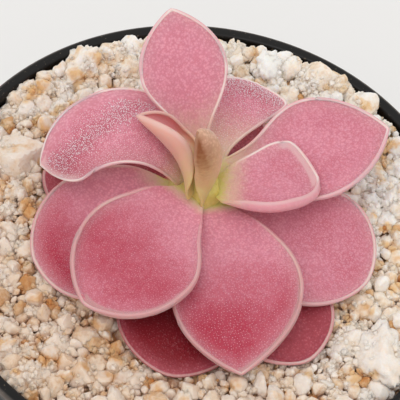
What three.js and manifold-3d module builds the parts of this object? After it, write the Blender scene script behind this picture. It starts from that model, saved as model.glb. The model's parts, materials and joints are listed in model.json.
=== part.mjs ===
// A butterwort, a low carnivorous rosette of broad pink leaves, growing in a round pot of pale grit.
// Millimetres, +Z up. The origin is the centre of the pot's foot, where it stands. +X is right, -Y the front.
import * as THREE from "three";
import { mergeVertices } from "three/addons/utils/BufferGeometryUtils.js";
import Module from "manifold-3d";

const wasm = await Module();
wasm.setup();

// Pot
const potHeight = 70;
const rimRadius = 45; // outside of the lip
const footRadius = 31;
const wall = 1.2;
const lipHeight = 1.8;
const lipWidth = 2;
const collarHeight = 12; // the upright band below the lip
const collarStep = 1.6; // how far the band stands out from the tapered wall
const footRecess = 2.5; // the middle of the floor is raised by this, inside a ring that the pot stands on
const footRingWidth = 4;
const drainHoles = 6;
const drainRadius = 2.8;
const drainCircle = 18;
const potSides = 48;

// Grit
const gap = 0.3; // between neighbours that touch
const gritLevel = potHeight - 3.4; // the bed's height at the wall
const gritRise = 0.4; // how much higher the bed is at the crown
const grainSeed = 11;
const lumpShowsAbove = 0.3; // a lump that stands out less than this is left out
const triesPerLump = 40;
// From the largest: how many, their radius, how far it varies, and how far the centre stands above the bed.
const lumpSizes = [
  { count: 34, radius: 3.7, spread: 0.6, rise: 0.1 },
  { count: 64, radius: 2.6, spread: 0.35, rise: 0.15 },
  { count: 70, radius: 1.7, spread: 0.2, rise: 0.2 },
];

// Crown: the short stem that carries every leaf, in a plain hole in the grit
const crown = new THREE.Vector3(-0.4, 5.4, gritLevel + gritRise);
const crownRadius = 2.3; // at the grit
const crownTopRadius = 1.3;
const crownHeight = 7.8; // above the grit
const crownDepth = 7; // below the grit
const crownSides = 16;

// Leaves
const leafThickness = 1.1; // at the midrib
const marginThickness = 0.9;
const stationsAlong = 12;
const stationsAcross = 6;

const rad = THREE.MathUtils.degToRad;
const lerp = THREE.MathUtils.lerp;
const smooth = (x) => THREE.MathUtils.smoothstep(x, 0, 1);
const upward = new THREE.Vector3(0, 0, 1);

// Each leaf, from the lowest up, in degrees and millimetres.
// azimuth: where it points, 0 along +X and 90 to the back. bend: how far it turns sideways by its tip.
// height: of its base above the grit. baseRadius: of its base from the crown's axis, if not beside it.
// widest: the share of the length where it has its full width. base, shoulder, point: see halfWidth.
// slope: of the midrib at even steps from its base to its tip. roll: lifts the left side, looking out along it.
// cup: how steeply its margins rise, negative where it is arched. curl: how far they turn up beyond that.
// A pair of values is for the left side and the right.
const leaves = [
  {
    name: "leaf_lowest_front", azimuth: 269, height: 0.95, length: 30, width: 21,
    widest: 0.66, slope: [1, 0, -3], roll: -2, cup: 3,
  },
  {
    name: "leaf_lowest_left", azimuth: 174, height: 0.9, length: 25, width: 18,
    widest: 0.6, slope: [1, 0, -3], cup: 4,
  },
  {
    name: "leaf_lowest_back", azimuth: 100, height: 2, length: 24, width: 17,
    widest: 0.6, base: 0.17, slope: [0, -3, -5], cup: 4,
  },
  {
    name: "leaf_lowest_right", azimuth: 309, height: 2.3, length: 31, width: 19,
    widest: 0.7, point: 0.6, slope: [3, -2, -9], cup: 4,
  },
  {
    name: "leaf_left_middle", azimuth: 213, height: 2.2, length: 28, width: [24.6, 26],
    widest: [0.64, 0.46], point: [0.42, 0.55], slope: [9, 0, -10], cup: 10,
    base: [0.2, 0.34],
    shoulder: [1.5, 0.9],
  },
  {
    name: "leaf_right_lower", azimuth: 342, height: 4.1, length: 28.6, width: [23.6, 23.8],
    widest: [0.64, 0.6], point: [0.5, 0.62], slope: [8, -2, -16], roll: 3, cup: 6,
  },
  {
    name: "leaf_left_upper", azimuth: 183, bend: 55, height: 3.15, length: 34.8, width: [13.6, 18.4],
    widest: [0.8, 0.4], base: [0.1, 0.09], point: [0.45, 0.98], shoulder: [1.8, 2.1],
    slope: [65.5, 47, -16, -66], roll: -15, cup: -27,
  },
  {
    name: "leaf_back_right", azimuth: 76, bend: -16, height: 3.4, length: 23.8, width: [17, 14.5],
    widest: [0.6, 0.87], base: [0.14, 0.16], shoulder: [1.7, 4.6], point: [0.62, 0.48],
    slope: [24, 14, -18], cup: 10,
  },
  {
    name: "leaf_front_right", azimuth: 288.5, height: 5.5, length: 31.6, width: [25.3, 18.4],
    widest: [0.55, 0.6], base: [0.28, 0.2], shoulder: 1, point: [0.85, 0.8], slope: [8, -4, -18], roll: 6, cup: 6,
  },
  {
    name: "leaf_right_upper", azimuth: 27.5, bend: -8, height: 5.6, length: 31.3, width: [19.8, 20.5],
    widest: [0.6, 0.58], base: [0.3, 0.16], point: 0.8, slope: [15, 13, 4], cup: 10,
    shoulder: [2.6, 1.5],
  },
  {
    name: "leaf_front_left", azimuth: 238.5, height: 6.9, length: 28.2, width: [24, 20.2],
    widest: [0.58, 0.54], base: [0.12, 0.34], shoulder: [1.5, 1.1], point: [0.55, 0.62],
    slope: [10, -2, -18], cup: 10,
  },
  {
    name: "leaf_back_upright", azimuth: 116.5, baseRadius: 3.7, height: 5.1, length: 29.6,
    width: [15.2, 15.6], widest: 0.66, base: [0.08, 0.14], point: 0.8, shoulder: [4.6, 2.7],
    slope: [53, 51, 39], cup: 10,
  },
  {
    name: "leaf_right_inner", azimuth: 10, bend: 22, height: 7.9, length: 17.6, width: [18.6, 21.4],
    widest: [0.78, 0.8], base: [0.3, 0.08], shoulder: [1.1, 1.1], point: [0.7, 0.42],
    slope: [34, 14, 5, 2, 24], roll: -9, cup: 16, curl: [0, 100], curlFrom: 0.55,
  },
  {
    name: "young_leaf_left", azimuth: 160, height: 9.1, length: 15.3, width: [12, 14.3],
    widest: [0.42, 0.46], base: [0.45, 0.14], shoulder: [1.5, 1.4], point: [0.62, 0.7],
    slope: [50, 40, 22], roll: 42, cup: 60, curl: [40, 130],
  },
  {
    name: "young_leaf_centre", azimuth: 0, baseRadius: 0.3, height: 8.3, length: 16.5, width: 10.4,
    widest: 0.45, base: 0.4, slope: [68, 94, 150], roll: -10, cup: 85,
  },
];

// One side's value of a pair, for t across the leaf, or the value of both.
const sided = (value, t) => (Array.isArray(value) ? value[t > 0 ? 0 : 1] : value);

// Half-width of a leaf at a share s of its length: a narrow base, a broad middle and a bluntly pointed tip.
function halfWidth(leaf, s, t) {
  const base = sided(leaf.base ?? 0.2, t);
  const widest = sided(leaf.widest, t);
  const width = sided(leaf.width, t);
  if (s < widest) {
    const rise = Math.sin((Math.PI / 2) * (s / widest)) ** sided(leaf.shoulder ?? 1.5, t);
    return (width / 2) * lerp(base, 1, rise);
  }
  const x = (s - widest) / (1 - widest);
  return (width / 2) * Math.max((1 - x ** 2) ** sided(leaf.point ?? 0.62, t), 0.04);
}

// The midrib's point and its three directions at each share of the length.
function midrib(leaf, shares) {
  const steps = 100;
  const azimuthAt = (s) => rad(leaf.azimuth + (leaf.bend ?? 0) * (s - 0.5));
  const slopeAt = (s) => {
    const place = s * (leaf.slope.length - 1);
    const k = Math.min(Math.floor(place), leaf.slope.length - 2);
    return rad(lerp(leaf.slope[k], leaf.slope[k + 1], place - k));
  };
  const outward = (s) => new THREE.Vector3(Math.cos(azimuthAt(s)), Math.sin(azimuthAt(s)), 0);
  const along = (s) => outward(s).multiplyScalar(Math.cos(slopeAt(s))).setZ(Math.sin(slopeAt(s)));
  const stem = lerp(crownRadius, crownTopRadius, leaf.height / crownHeight);
  const base = leaf.baseRadius ?? stem + gap + (leafThickness / 2) * Math.sin(slopeAt(0));
  const point = crown.clone().addScaledVector(outward(0), base);
  point.z += leaf.height;
  const frames = [];
  let done = 0;
  for (const share of shares) {
    while (done < Math.round(share * steps)) {
      point.addScaledVector(along((done + 0.5) / steps), leaf.length / steps);
      done += 1;
    }
    const forward = along(share);
    const side = outward(share).applyAxisAngle(upward, Math.PI / 2);
    side.applyAxisAngle(forward, rad(leaf.roll ?? 0) * smooth(2 * share));
    const up = new THREE.Vector3().crossVectors(forward, side);
    frames.push({ share, point: point.clone(), forward, side, up });
  }
  return frames;
}

// The middle surface of a leaf at a station, t from -1 (right margin) to 1 (left margin) across it.
function bladePoint(leaf, frame, t) {
  const cup = rad(leaf.cup) * smooth(Math.min(frame.share * 3 + 0.25, 1));
  const curl = rad(sided(leaf.curl ?? 0, t)) * smooth(frame.share / 0.35);
  const from = leaf.curlFrom ?? 0.55;
  const steps = 24;
  let over = 0;
  let lift = 0;
  for (let k = 0; k < steps; k += 1) {
    const u = (Math.abs(t) * (k + 0.5)) / steps;
    const angle = cup * u + curl * smooth((u - from) / (1 - from));
    over += Math.cos(angle) / steps;
    lift += Math.sin(angle) / steps;
  }
  const half = halfWidth(leaf, frame.share, t);
  return frame.point
    .clone()
    .addScaledVector(frame.side, half * t * over)
    .addScaledVector(frame.up, half * Math.abs(t) * lift);
}

// A closed blade: the same grid on both faces, split into triangles alike, joined round the margin.
function leafGeometry(leaf, along, across) {
  const shares = Array.from({ length: along + 1 }, (_, i) => Math.sin(((i / along) * Math.PI) / 2) ** 0.9);
  const frames = midrib(leaf, shares);
  const middle = frames.map((frame) =>
    Array.from({ length: across + 1 }, (_, j) => bladePoint(leaf, frame, (2 * j) / across - 1)),
  );
  const top = [];
  const bottom = [];
  for (let i = 0; i <= along; i += 1) {
    for (let j = 0; j <= across; j += 1) {
      const ahead = middle[Math.min(i + 1, along)][j].clone().sub(middle[Math.max(i - 1, 0)][j]);
      const over = middle[i][Math.min(j + 1, across)].clone().sub(middle[i][Math.max(j - 1, 0)]);
      const normal = new THREE.Vector3().crossVectors(ahead, over).normalize();
      const t = Math.abs((2 * j) / across - 1);
      const half = lerp(leafThickness, marginThickness, t ** 2) / 2;
      top.push(middle[i][j].clone().addScaledVector(normal, half));
      bottom.push(middle[i][j].clone().addScaledVector(normal, -half));
    }
  }
  const row = across + 1;
  const under = top.length;
  const index = [];
  const quad = (a, b, c, d) => index.push(a, b, c, a, c, d);
  for (let i = 0; i < along; i += 1) {
    for (let j = 0; j < across; j += 1) {
      const a = i * row + j;
      const [b, c, d] = [a + row, a + row + 1, a + 1];
      index.push(a, b, c, a, c, d);
      index.push(under + a, under + c, under + b, under + a, under + d, under + c);
    }
    const left = i * row + across;
    quad(i * row, under + i * row, under + (i + 1) * row, (i + 1) * row);
    quad(left, left + row, under + left + row, under + left);
  }
  for (let j = 0; j < across; j += 1) {
    const tip = along * row + j;
    quad(j, j + 1, under + j + 1, under + j);
    quad(tip, under + tip, under + tip + 1, tip + 1);
  }
  const geometry = new THREE.BufferGeometry();
  geometry.setFromPoints([...top, ...bottom]);
  geometry.setIndex(index);
  return geometry;
}

// A closed geometry as a solid that can be joined and cut, and back again.
function solid(geometry) {
  const bare = geometry.clone();
  bare.deleteAttribute("normal");
  bare.deleteAttribute("uv");
  const merged = mergeVertices(bare, 1e-5);
  const vertProperties = new Float32Array(merged.getAttribute("position").array);
  const triVerts = new Uint32Array(merged.index.array);
  return new wasm.Manifold(new wasm.Mesh({ numProp: 3, vertProperties, triVerts }));
}

function geometryOf(manifold) {
  const { vertProperties, triVerts } = manifold.getMesh();
  const geometry = new THREE.BufferGeometry();
  geometry.setAttribute("position", new THREE.BufferAttribute(vertProperties, 3));
  geometry.setIndex(new THREE.BufferAttribute(triVerts, 1));
  return geometry;
}

// A body turned about Z, from [radius, height] points that start on the axis at the bottom and end on it.
function turned(points, sides) {
  const profile = points.map(([radius, height]) => new THREE.Vector2(radius, height));
  return new THREE.LatheGeometry(profile, sides).rotateX(Math.PI / 2);
}

function uprightCylinder(radius, bottom, top, x, y, sides) {
  return new THREE.CylinderGeometry(radius, radius, top - bottom, sides)
    .rotateX(Math.PI / 2)
    .translate(x, y, (top + bottom) / 2);
}

// The pot: a tapered cup on a foot ring, a collar round its mouth and a rounded lip.
const collarRadius = rimRadius - lipWidth / 2;
const collarBottom = potHeight - collarHeight;
const floorTop = footRecess + wall;
const mouthRadius = collarRadius - wall; // inside the collar
const shoulderRadius = collarRadius - collarStep; // outside, where the tapered wall meets the collar

function potGeometry() {
  const lip = potHeight - lipHeight;
  const round = lipWidth / 4;
  const cup = turned(
    [
      [0, footRecess],
      [footRadius - footRingWidth - 1, footRecess],
      [footRadius - footRingWidth, 0],
      [footRadius - 0.6, 0],
      [footRadius, 0.6],
      [shoulderRadius, collarBottom - collarStep],
      [collarRadius, collarBottom],
      [collarRadius, lip],
      [rimRadius, lip + round],
      [rimRadius, potHeight - round],
      [rimRadius - round, potHeight],
      [mouthRadius + round, potHeight],
      [mouthRadius, potHeight - round],
      [mouthRadius, collarBottom],
      [shoulderRadius - wall, collarBottom - collarStep],
      [footRadius - wall, floorTop],
      [0, floorTop],
    ],
    potSides,
  );
  let pot = solid(cup);
  for (let i = 0; i < drainHoles; i += 1) {
    const turn = (2 * Math.PI * i) / drainHoles;
    const x = drainCircle * Math.cos(turn);
    const y = drainCircle * Math.sin(turn);
    const hole = uprightCylinder(drainRadius, footRecess - 1, floorTop + 1, x, y, 12);
    pot = pot.subtract(solid(hole));
  }
  return geometryOf(pot);
}

// The grit: what fills the pot, with lumps of three sizes standing out of its top, lower under the leaves.
const bedRadius = mouthRadius - gap;

function bedHeight(x, y) {
  return gritLevel + gritRise * (1 - (x * x + y * y) / bedRadius ** 2);
}

// A repeatable row of random numbers from 0 to 1.
function randomRow(seed) {
  let state = seed;
  return () => {
    state = (state * 1664525 + 1013904223) % 4294967296;
    return state / 4294967296;
  };
}

// The underside of every leaf as points, to keep the lumps below it.
function undersidePoints() {
  const points = [];
  const shares = Array.from({ length: 37 }, (_, i) => i / 36);
  for (const leaf of leaves) {
    for (const frame of midrib(leaf, shares)) {
      for (let j = 0; j <= 18; j += 1) {
        const point = bladePoint(leaf, frame, j / 9 - 1);
        points.push(point.setZ(point.z - leafThickness / 2));
      }
    }
  }
  return points;
}

// The lowest leaf point above a lump that would stand at x, y, with a little room at its sides.
function ceilingOver(box, x, y, leafPoints) {
  const room = 3 * gap;
  let ceiling = Infinity;
  for (const point of leafPoints) {
    const overX = point.x > x + box.min.x - room && point.x < x + box.max.x + room;
    const overY = point.y > y + box.min.y - room && point.y < y + box.max.y + room;
    if (overX && overY) ceiling = Math.min(ceiling, point.z);
  }
  return ceiling;
}

// One lump: a twenty-faced stone with its corners pushed in and out, turned at random and flattened.
function lumpGeometry(radius, random) {
  const ball = new THREE.IcosahedronGeometry(radius, 0);
  ball.deleteAttribute("normal");
  ball.deleteAttribute("uv");
  const lump = mergeVertices(ball);
  const corners = lump.getAttribute("position");
  for (let i = 0; i < corners.count; i += 1) {
    const push = 0.8 + 0.3 * random();
    corners.setXYZ(i, corners.getX(i) * push, corners.getY(i) * push, corners.getZ(i) * push);
  }
  const turn = new THREE.Euler(random() * Math.PI, random() * Math.PI, random() * Math.PI);
  lump.applyMatrix4(new THREE.Matrix4().makeRotationFromEuler(turn));
  lump.scale(0.9 + 0.25 * random(), 0.85 + 0.2 * random(), 0.7 + 0.2 * random());
  lump.computeBoundingBox();
  return lump;
}

// Lumps placed at random from the largest down, none on another's middle and none in a leaf.
function lumpsOnBed() {
  const random = randomRow(grainSeed);
  const leafPoints = undersidePoints();
  const placed = [];
  for (const { count, radius, spread, rise } of lumpSizes) {
    let made = 0;
    for (let attempt = 0; attempt < count * triesPerLump && made < count; attempt += 1) {
      const size = radius + spread * (2 * random() - 1);
      const distance = Math.sqrt(random()) * (bedRadius - 1.3 * size);
      const turn = random() * 2 * Math.PI;
      const x = distance * Math.cos(turn);
      const y = distance * Math.sin(turn);
      const near = (other) => Math.hypot(other.x - x, other.y - y) < 0.8 * (other.size + size);
      if (placed.some(near)) continue;
      const lump = lumpGeometry(size, random);
      const top = lump.boundingBox.max.z;
      const ceiling = ceilingOver(lump.boundingBox, x, y, leafPoints) - 1.5 * gap;
      const z = Math.min(bedHeight(x, y) + rise * size, ceiling - top);
      if (z + top < bedHeight(x, y) + lumpShowsAbove) continue;
      placed.push({ x, y, size, geometry: lump.translate(x, y, z) });
      made += 1;
    }
  }
  return placed.map((lump) => lump.geometry);
}

function gritGeometry() {
  const rings = 6;
  const top = Array.from({ length: rings + 1 }, (_, i) => {
    const radius = bedRadius * (1 - i / rings);
    return [radius, bedHeight(radius, 0)];
  });
  const fill = turned(
    [
      [0, floorTop + gap],
      [footRadius - wall - 2 * gap, floorTop + gap],
      [shoulderRadius - wall - gap, collarBottom - collarStep + gap],
      [bedRadius, collarBottom + gap],
      ...top,
    ],
    potSides,
  );
  const bed = wasm.Manifold.union([fill, ...lumpsOnBed()].map(solid));
  const holeBottom = crown.z - crownDepth - gap;
  const holeTop = crown.z + crownDepth;
  const stemHole = uprightCylinder(crownRadius + gap, holeBottom, holeTop, crown.x, crown.y, crownSides);
  return geometryOf(bed.subtract(solid(stemHole)));
}

// The crown: a short upright stem with a tapered foot and a low dome between the youngest leaves.
function crownGeometry() {
  const dome = 0.5;
  return turned(
    [
      [0, -crownDepth],
      [crownRadius * 0.45, -crownDepth],
      [crownRadius, -crownDepth / 2],
      [crownRadius, 0],
      [crownTopRadius, crownHeight - dome],
      [crownTopRadius * 0.6, crownHeight],
      [0, crownHeight],
    ],
    crownSides,
  );
}

// The materials
const blackPlastic = new THREE.MeshStandardMaterial({ color: "#2b2829", roughness: 0.55 });
const paleGrit = new THREE.MeshStandardMaterial({ color: "#e6dcc6", roughness: 0.95 });
const heartGreen = new THREE.MeshStandardMaterial({ color: "#c3c46a", roughness: 0.5 });
const leafPink = new THREE.MeshStandardMaterial({ color: "#d0708a", roughness: 0.5 });
const youngPeach = new THREE.MeshStandardMaterial({ color: "#d9a08c", roughness: 0.5 });

const group = new THREE.Group();

function add(name, geometry, material, parent = group) {
  const mesh = new THREE.Mesh(geometry, material);
  mesh.name = name;
  parent.add(mesh);
  return mesh;
}

add("pot", potGeometry(), blackPlastic);
add("grit_bed", gritGeometry(), paleGrit);
add("crown", crownGeometry(), heartGreen).position.copy(crown);
for (const leaf of leaves) {
  const young = leaf.name.startsWith("young");
  add(leaf.name, leafGeometry(leaf, stationsAlong, stationsAcross), young ? youngPeach : leafPink);
}

export default group;
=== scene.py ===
import json
import math
import random

import bmesh
import bpy
import numpy as np
from mathutils import Matrix, Vector, kdtree, noise
from mathutils.bvhtree import BVHTree

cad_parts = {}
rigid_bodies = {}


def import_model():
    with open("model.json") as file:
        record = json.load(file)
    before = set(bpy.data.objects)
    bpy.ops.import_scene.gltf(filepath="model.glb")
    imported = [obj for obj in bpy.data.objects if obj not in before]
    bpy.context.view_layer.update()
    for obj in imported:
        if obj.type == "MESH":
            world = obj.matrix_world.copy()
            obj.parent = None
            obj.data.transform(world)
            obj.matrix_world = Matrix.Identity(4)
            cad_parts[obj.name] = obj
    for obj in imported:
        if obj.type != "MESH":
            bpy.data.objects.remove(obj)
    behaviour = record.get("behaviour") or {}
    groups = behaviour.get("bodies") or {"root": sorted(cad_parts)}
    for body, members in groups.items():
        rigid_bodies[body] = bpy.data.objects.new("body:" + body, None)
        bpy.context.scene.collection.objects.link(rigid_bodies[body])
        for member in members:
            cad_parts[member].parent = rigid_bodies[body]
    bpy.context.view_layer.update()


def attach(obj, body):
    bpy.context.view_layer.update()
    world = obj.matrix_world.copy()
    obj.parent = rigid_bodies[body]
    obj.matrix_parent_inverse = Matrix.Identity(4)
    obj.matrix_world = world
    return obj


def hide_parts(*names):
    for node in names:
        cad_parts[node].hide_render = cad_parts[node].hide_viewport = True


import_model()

mm = 0.001  # the tables below are in millimetres and degrees, meshes in metres

# Camera

cameraSetup = {
    "aim": (-0.87, 6.5, 70.0),  # the middle of the picture, on the plane of the rim
    "distance": 350.0,
    "elevation": 54.3,
    "roll": 9.51,
    "pixelsPerMm": 5.954,  # at the aim
    "picture": 400,  # pixels across and down
    "sensor": 36.0,
}


# the camera's right, up and back directions
def cameraAxes():
    elevation = math.radians(cameraSetup["elevation"])
    roll = math.radians(cameraSetup["roll"])
    back = Vector((0, -math.cos(elevation), math.sin(elevation)))
    level = Vector((1, 0, 0))
    upright = back.cross(level)
    right = level * math.cos(roll) + upright * math.sin(roll)
    return right, upright * math.cos(roll) - level * math.sin(roll), back


def addCamera():
    right, up, back = cameraAxes()
    data = bpy.data.cameras.new("StudioCamera")
    sensor = cameraSetup["sensor"]
    data.sensor_width = sensor
    data.lens = sensor * cameraSetup["distance"] * cameraSetup["pixelsPerMm"] / cameraSetup["picture"]
    data.clip_start = 0.01
    data.clip_end = 20
    camera = bpy.data.objects.new("StudioCamera", data)
    bpy.context.scene.collection.objects.link(camera)
    camera.location = (Vector(cameraSetup["aim"]) + back * cameraSetup["distance"]) * mm
    camera.rotation_mode = "QUATERNION"
    camera.rotation_quaternion = Matrix((right, up, back)).transposed().to_quaternion()
    bpy.context.scene.camera = camera


# the point at a height that the camera sees at a place in its picture, counted across and down
def seenAt(across, down, height):
    right, up, back = cameraAxes()
    half, scale = cameraSetup["picture"] / 2, cameraSetup["pixelsPerMm"]
    start = Vector(cameraSetup["aim"]) + back * cameraSetup["distance"]
    ray = right * (across - half) / scale + up * (half - down) / scale
    ray -= back * cameraSetup["distance"]
    return start + ray * ((height - start.z) / ray.z)


addCamera()
print("camera placed")

# Helpers for meshes, node trees and colours


# a colour as a screen shows it, made linear for the shaders
def paint(red, green, blue):
    linear = [c / 255 / 12.92 if c <= 10 else ((c / 255 + 0.055) / 1.055) ** 2.4 for c in (red, green, blue)]
    return (*linear, 1)


def smooth(x):
    x = np.clip(x, 0, 1)
    return x * x * (3 - 2 * x)


def addObject(name, mesh, material=None):
    piece = bpy.data.objects.new(name, mesh)
    bpy.context.scene.collection.objects.link(piece)
    if material is not None:
        mesh.materials.clear()
        mesh.materials.append(material)
    return piece


def smoothShade(mesh):
    mesh.polygons.foreach_set("use_smooth", [True] * len(mesh.polygons))
    mesh.update()


# a value for each point of a mesh, which materials and node trees read by its name
def storeValues(mesh, name, values, kind="FLOAT"):
    layer = mesh.attributes.new(name, kind, "POINT")
    numbers = np.asarray(values, dtype=np.int32 if kind == "INT" else np.float32)
    layer.data.foreach_set("vector" if kind == "FLOAT_VECTOR" else "value", numbers.ravel())


# the faces between rings of points, with a pole at each end
def ringFaces(start, rings, sides, firstPole, lastPole):
    faces = []
    last = start + (rings - 1) * sides
    for i in range(sides):
        n = (i + 1) % sides
        faces.append((firstPole, start + n, start + i))
        for a in range(start, last, sides):
            faces.append((a + i, a + n, a + sides + n, a + sides + i))
        faces.append((last + i, last + n, lastPole))
    return faces


# adds a node; inputs are values or sockets, by the input's name or number
def addNode(tree, kind, inputs=None, **settings):
    node = tree.nodes.new(kind)
    for key, value in settings.items():
        setattr(node, key, value)
    for key, value in (inputs or {}).items():
        if isinstance(value, bpy.types.NodeSocket):
            tree.links.new(value, node.inputs[key])
        else:
            node.inputs[key].default_value = value
    return node


def newGroup(name, kind, takes, gives):
    tree = bpy.data.node_groups.new(name, kind)
    for socketName, socketType, value in takes:
        socket = tree.interface.new_socket(name=socketName, in_out="INPUT", socket_type=socketType)
        if value is not None:
            socket.default_value = value
    for socketName, socketType in gives:
        tree.interface.new_socket(name=socketName, in_out="OUTPUT", socket_type=socketType)
    return tree, tree.nodes.new("NodeGroupInput"), tree.nodes.new("NodeGroupOutput")


# a material with a Principled BSDF; plain values are set on its own sockets
def newMaterial(name, values):
    material = bpy.data.materials.new(name)
    material.use_nodes = True
    tree = material.node_tree
    tree.nodes.clear()
    shader = addNode(tree, "ShaderNodeBsdfPrincipled", values)
    addNode(tree, "ShaderNodeOutputMaterial", {"Surface": shader.outputs[0]})
    return material, tree, shader


# mixes two colours by a factor; each may be a socket or a plain value
def mixColors(tree, factor, first, second, blend="MIX"):
    inputs = {0: factor, 6: first, 7: second}
    return addNode(tree, "ShaderNodeMix", inputs, data_type="RGBA", blend_type=blend).outputs[2]


def readValue(tree, name):
    return addNode(tree, "ShaderNodeAttribute", attribute_name=name).outputs["Fac"]


def readPlace(tree):
    return addNode(tree, "ShaderNodeTexCoord").outputs["Object"]


def readHeight(tree, place):
    return addNode(tree, "ShaderNodeSeparateXYZ", {0: place}).outputs["Z"]


def mapRange(tree, value, low, high, toLow=0.0, toHigh=1.0, kind="SMOOTHSTEP"):
    inputs = {"Value": value, "From Min": low, "From Max": high, "To Min": toLow, "To Max": toHigh}
    return addNode(tree, "ShaderNodeMapRange", inputs, interpolation_type=kind).outputs[0]


# goes evenly from one value to another as a mask goes from 0 to 1
def between(tree, mask, atZero, atOne):
    return mapRange(tree, mask, 0.0, 1.0, atZero, atOne, "LINEAR")


def math2(tree, operation, first, second=0.0):
    return addNode(tree, "ShaderNodeMath", {0: first, 1: second}, operation=operation).outputs[0]


def noiseAt(tree, place, scale, detail):
    inputs = {"Vector": place, "Scale": scale, "Detail": detail}
    return addNode(tree, "ShaderNodeTexNoise", inputs).outputs[0]


def setBump(tree, shader, height, strength, distance):
    inputs = {"Strength": strength, "Distance": distance, "Height": height}
    tree.links.new(addNode(tree, "ShaderNodeBump", inputs).outputs[0], shader.inputs["Normal"])


# the end of a Geometry Nodes tree: the realized shape gets its material
def endTree(tree, shape, material, exit):
    done = addNode(tree, "GeometryNodeSetMaterial", {"Geometry": shape.outputs[0], "Material": material})
    tree.links.new(done.outputs[0], exit.inputs[0])


# gives an object a Geometry Nodes tree, keeps the result as a plain mesh and removes the modifier
def runTree(piece, tree, values):
    modifier = piece.modifiers.new(tree.name, "NODES")
    modifier.node_group = tree
    sockets = [item for item in tree.interface.items_tree if item.item_type == "SOCKET"]
    ids = {item.name: item.identifier for item in sockets if item.in_out == "INPUT"}
    for name, value in values.items():
        modifier[ids[name]] = value
    graph = bpy.context.evaluated_depsgraph_get()
    result = bpy.data.meshes.new_from_object(
        piece.evaluated_get(graph), preserve_all_data_layers=True, depsgraph=graph
    )
    piece.modifiers.remove(modifier)
    return result


# Shader groups


# uneven colour at two sizes, from 0 to 1
def mottleGroup():
    broadShare, fineShare = 0.65, 0.35
    takes = [
        ("Vector", "NodeSocketVector", None), ("Scale", "NodeSocketFloat", 1.0),
        ("Fine", "NodeSocketFloat", 6.0),
    ]
    tree, entry, exit = newGroup("Mottle", "ShaderNodeTree", takes, [("Value", "NodeSocketFloat")])
    place, scale = entry.outputs["Vector"], entry.outputs["Scale"]
    broad = noiseAt(tree, place, scale, 2.0)
    fine = noiseAt(tree, place, math2(tree, "MULTIPLY", scale, entry.outputs["Fine"]), 3.0)
    broad = math2(tree, "MULTIPLY", broad, broadShare)
    both = math2(tree, "ADD", broad, math2(tree, "MULTIPLY", fine, fineShare))
    tree.links.new(mapRange(tree, both, 0.36, 0.64), exit.inputs["Value"])
    return tree


# small rounded cells with a hollow between them, as on a glandular leaf or in pumice
def cellsGroup():
    takes = [
        ("Vector", "NodeSocketVector", None), ("Size", "NodeSocketFloat", 1.0),
        ("Stretch", "NodeSocketFloat", 0.35),
    ]
    gives = [("Bump", "NodeSocketFloat"), ("Centre", "NodeSocketFloat")]
    tree, entry, exit = newGroup("Cells", "ShaderNodeTree", takes, gives)
    place, size = entry.outputs["Vector"], entry.outputs["Size"]

    def combine(operation, inputs):
        return addNode(tree, "ShaderNodeVectorMath", inputs, operation=operation).outputs[0]

    wobble = addNode(tree, "ShaderNodeTexNoise", {"Vector": place, "Scale": size}).outputs["Color"]
    shift = combine("SUBTRACT", {0: wobble, 1: (0.5, 0.5, 0.5)})
    shift = combine("SCALE", {0: shift, "Scale": math2(tree, "DIVIDE", entry.outputs["Stretch"], size)})
    place = combine("ADD", {0: place, 1: shift})
    distance = addNode(tree, "ShaderNodeTexVoronoi", {"Vector": place, "Scale": size}).outputs["Distance"]
    tree.links.new(mapRange(tree, distance, 0.75, 0.1), exit.inputs["Bump"])
    tree.links.new(mapRange(tree, distance, 0.32, 0.12), exit.inputs["Centre"])
    return tree


mottle = mottleGroup()
cells = cellsGroup()


def mottleAt(tree, place, scale):
    return addNode(tree, "ShaderNodeGroup", {"Vector": place, "Scale": scale}, node_tree=mottle).outputs[0]


def cellsAt(tree, place, size):
    return addNode(tree, "ShaderNodeGroup", {"Vector": place, "Size": size}, node_tree=cells)


# Leaves

leafBuild = {
    "crown": (-0.4, 5.4, 67.0),  # the foot of the stem that the leaves grow from
    "crownRadius": 2.3,
    "crownTopRadius": 1.3,
    "crownHeight": 7.8,
    "thickness": 1.1,
    "gap": 0.3,  # between the stem and a leaf's own start
    "bladeHalf": 0.42,  # half the blade's thickness away from its rim
    "rimHalf": 0.26,  # half the rim's
    "rimReach": 0.26,  # how far the rim bulges sideways
    "rimTaper": 1.2,  # how far in from the rim the blade reaches its full thickness
    "haze": 3.6,  # how far in from the rim the upper face is painted paler, a painted sheen
    "flareReach": 0.38,  # the share of the length over which a flared base narrows
    "tail": 0.05,  # the share by which each base runs into the crown
    "cupReach": (3.0, 0.25),  # how soon along a leaf its cup is full, and its share at the start
    "curlReach": 0.35,  # the share of the length over which a rolled side grows
    "waveOffset": 1.9,  # how far the waves of the left side run ahead of the right's
    "rimStart": (0.08, 0.3),  # where along a leaf its rim starts to be pale, and over what share
    "bandFade": (0.35, 0.1, -0.3),  # a wide band's soft edge, soft start, and how far across it goes
    "rimDown": (1.3, -1.7),  # how the palest line, partly a painted highlight, fades down over the rim
    "hairStart": (0.06, 0.14),  # where along a leaf its hairs start, and over what share
    "hairEdge": (0.2, 0.5),  # how far in from the rim they start, and over what width
    "dewDepth": 0.3,  # how much redder a leaf is under its wet streak
    "rows": 64,
    "columns": 44,
    "rimRows": 7,
}

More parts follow.
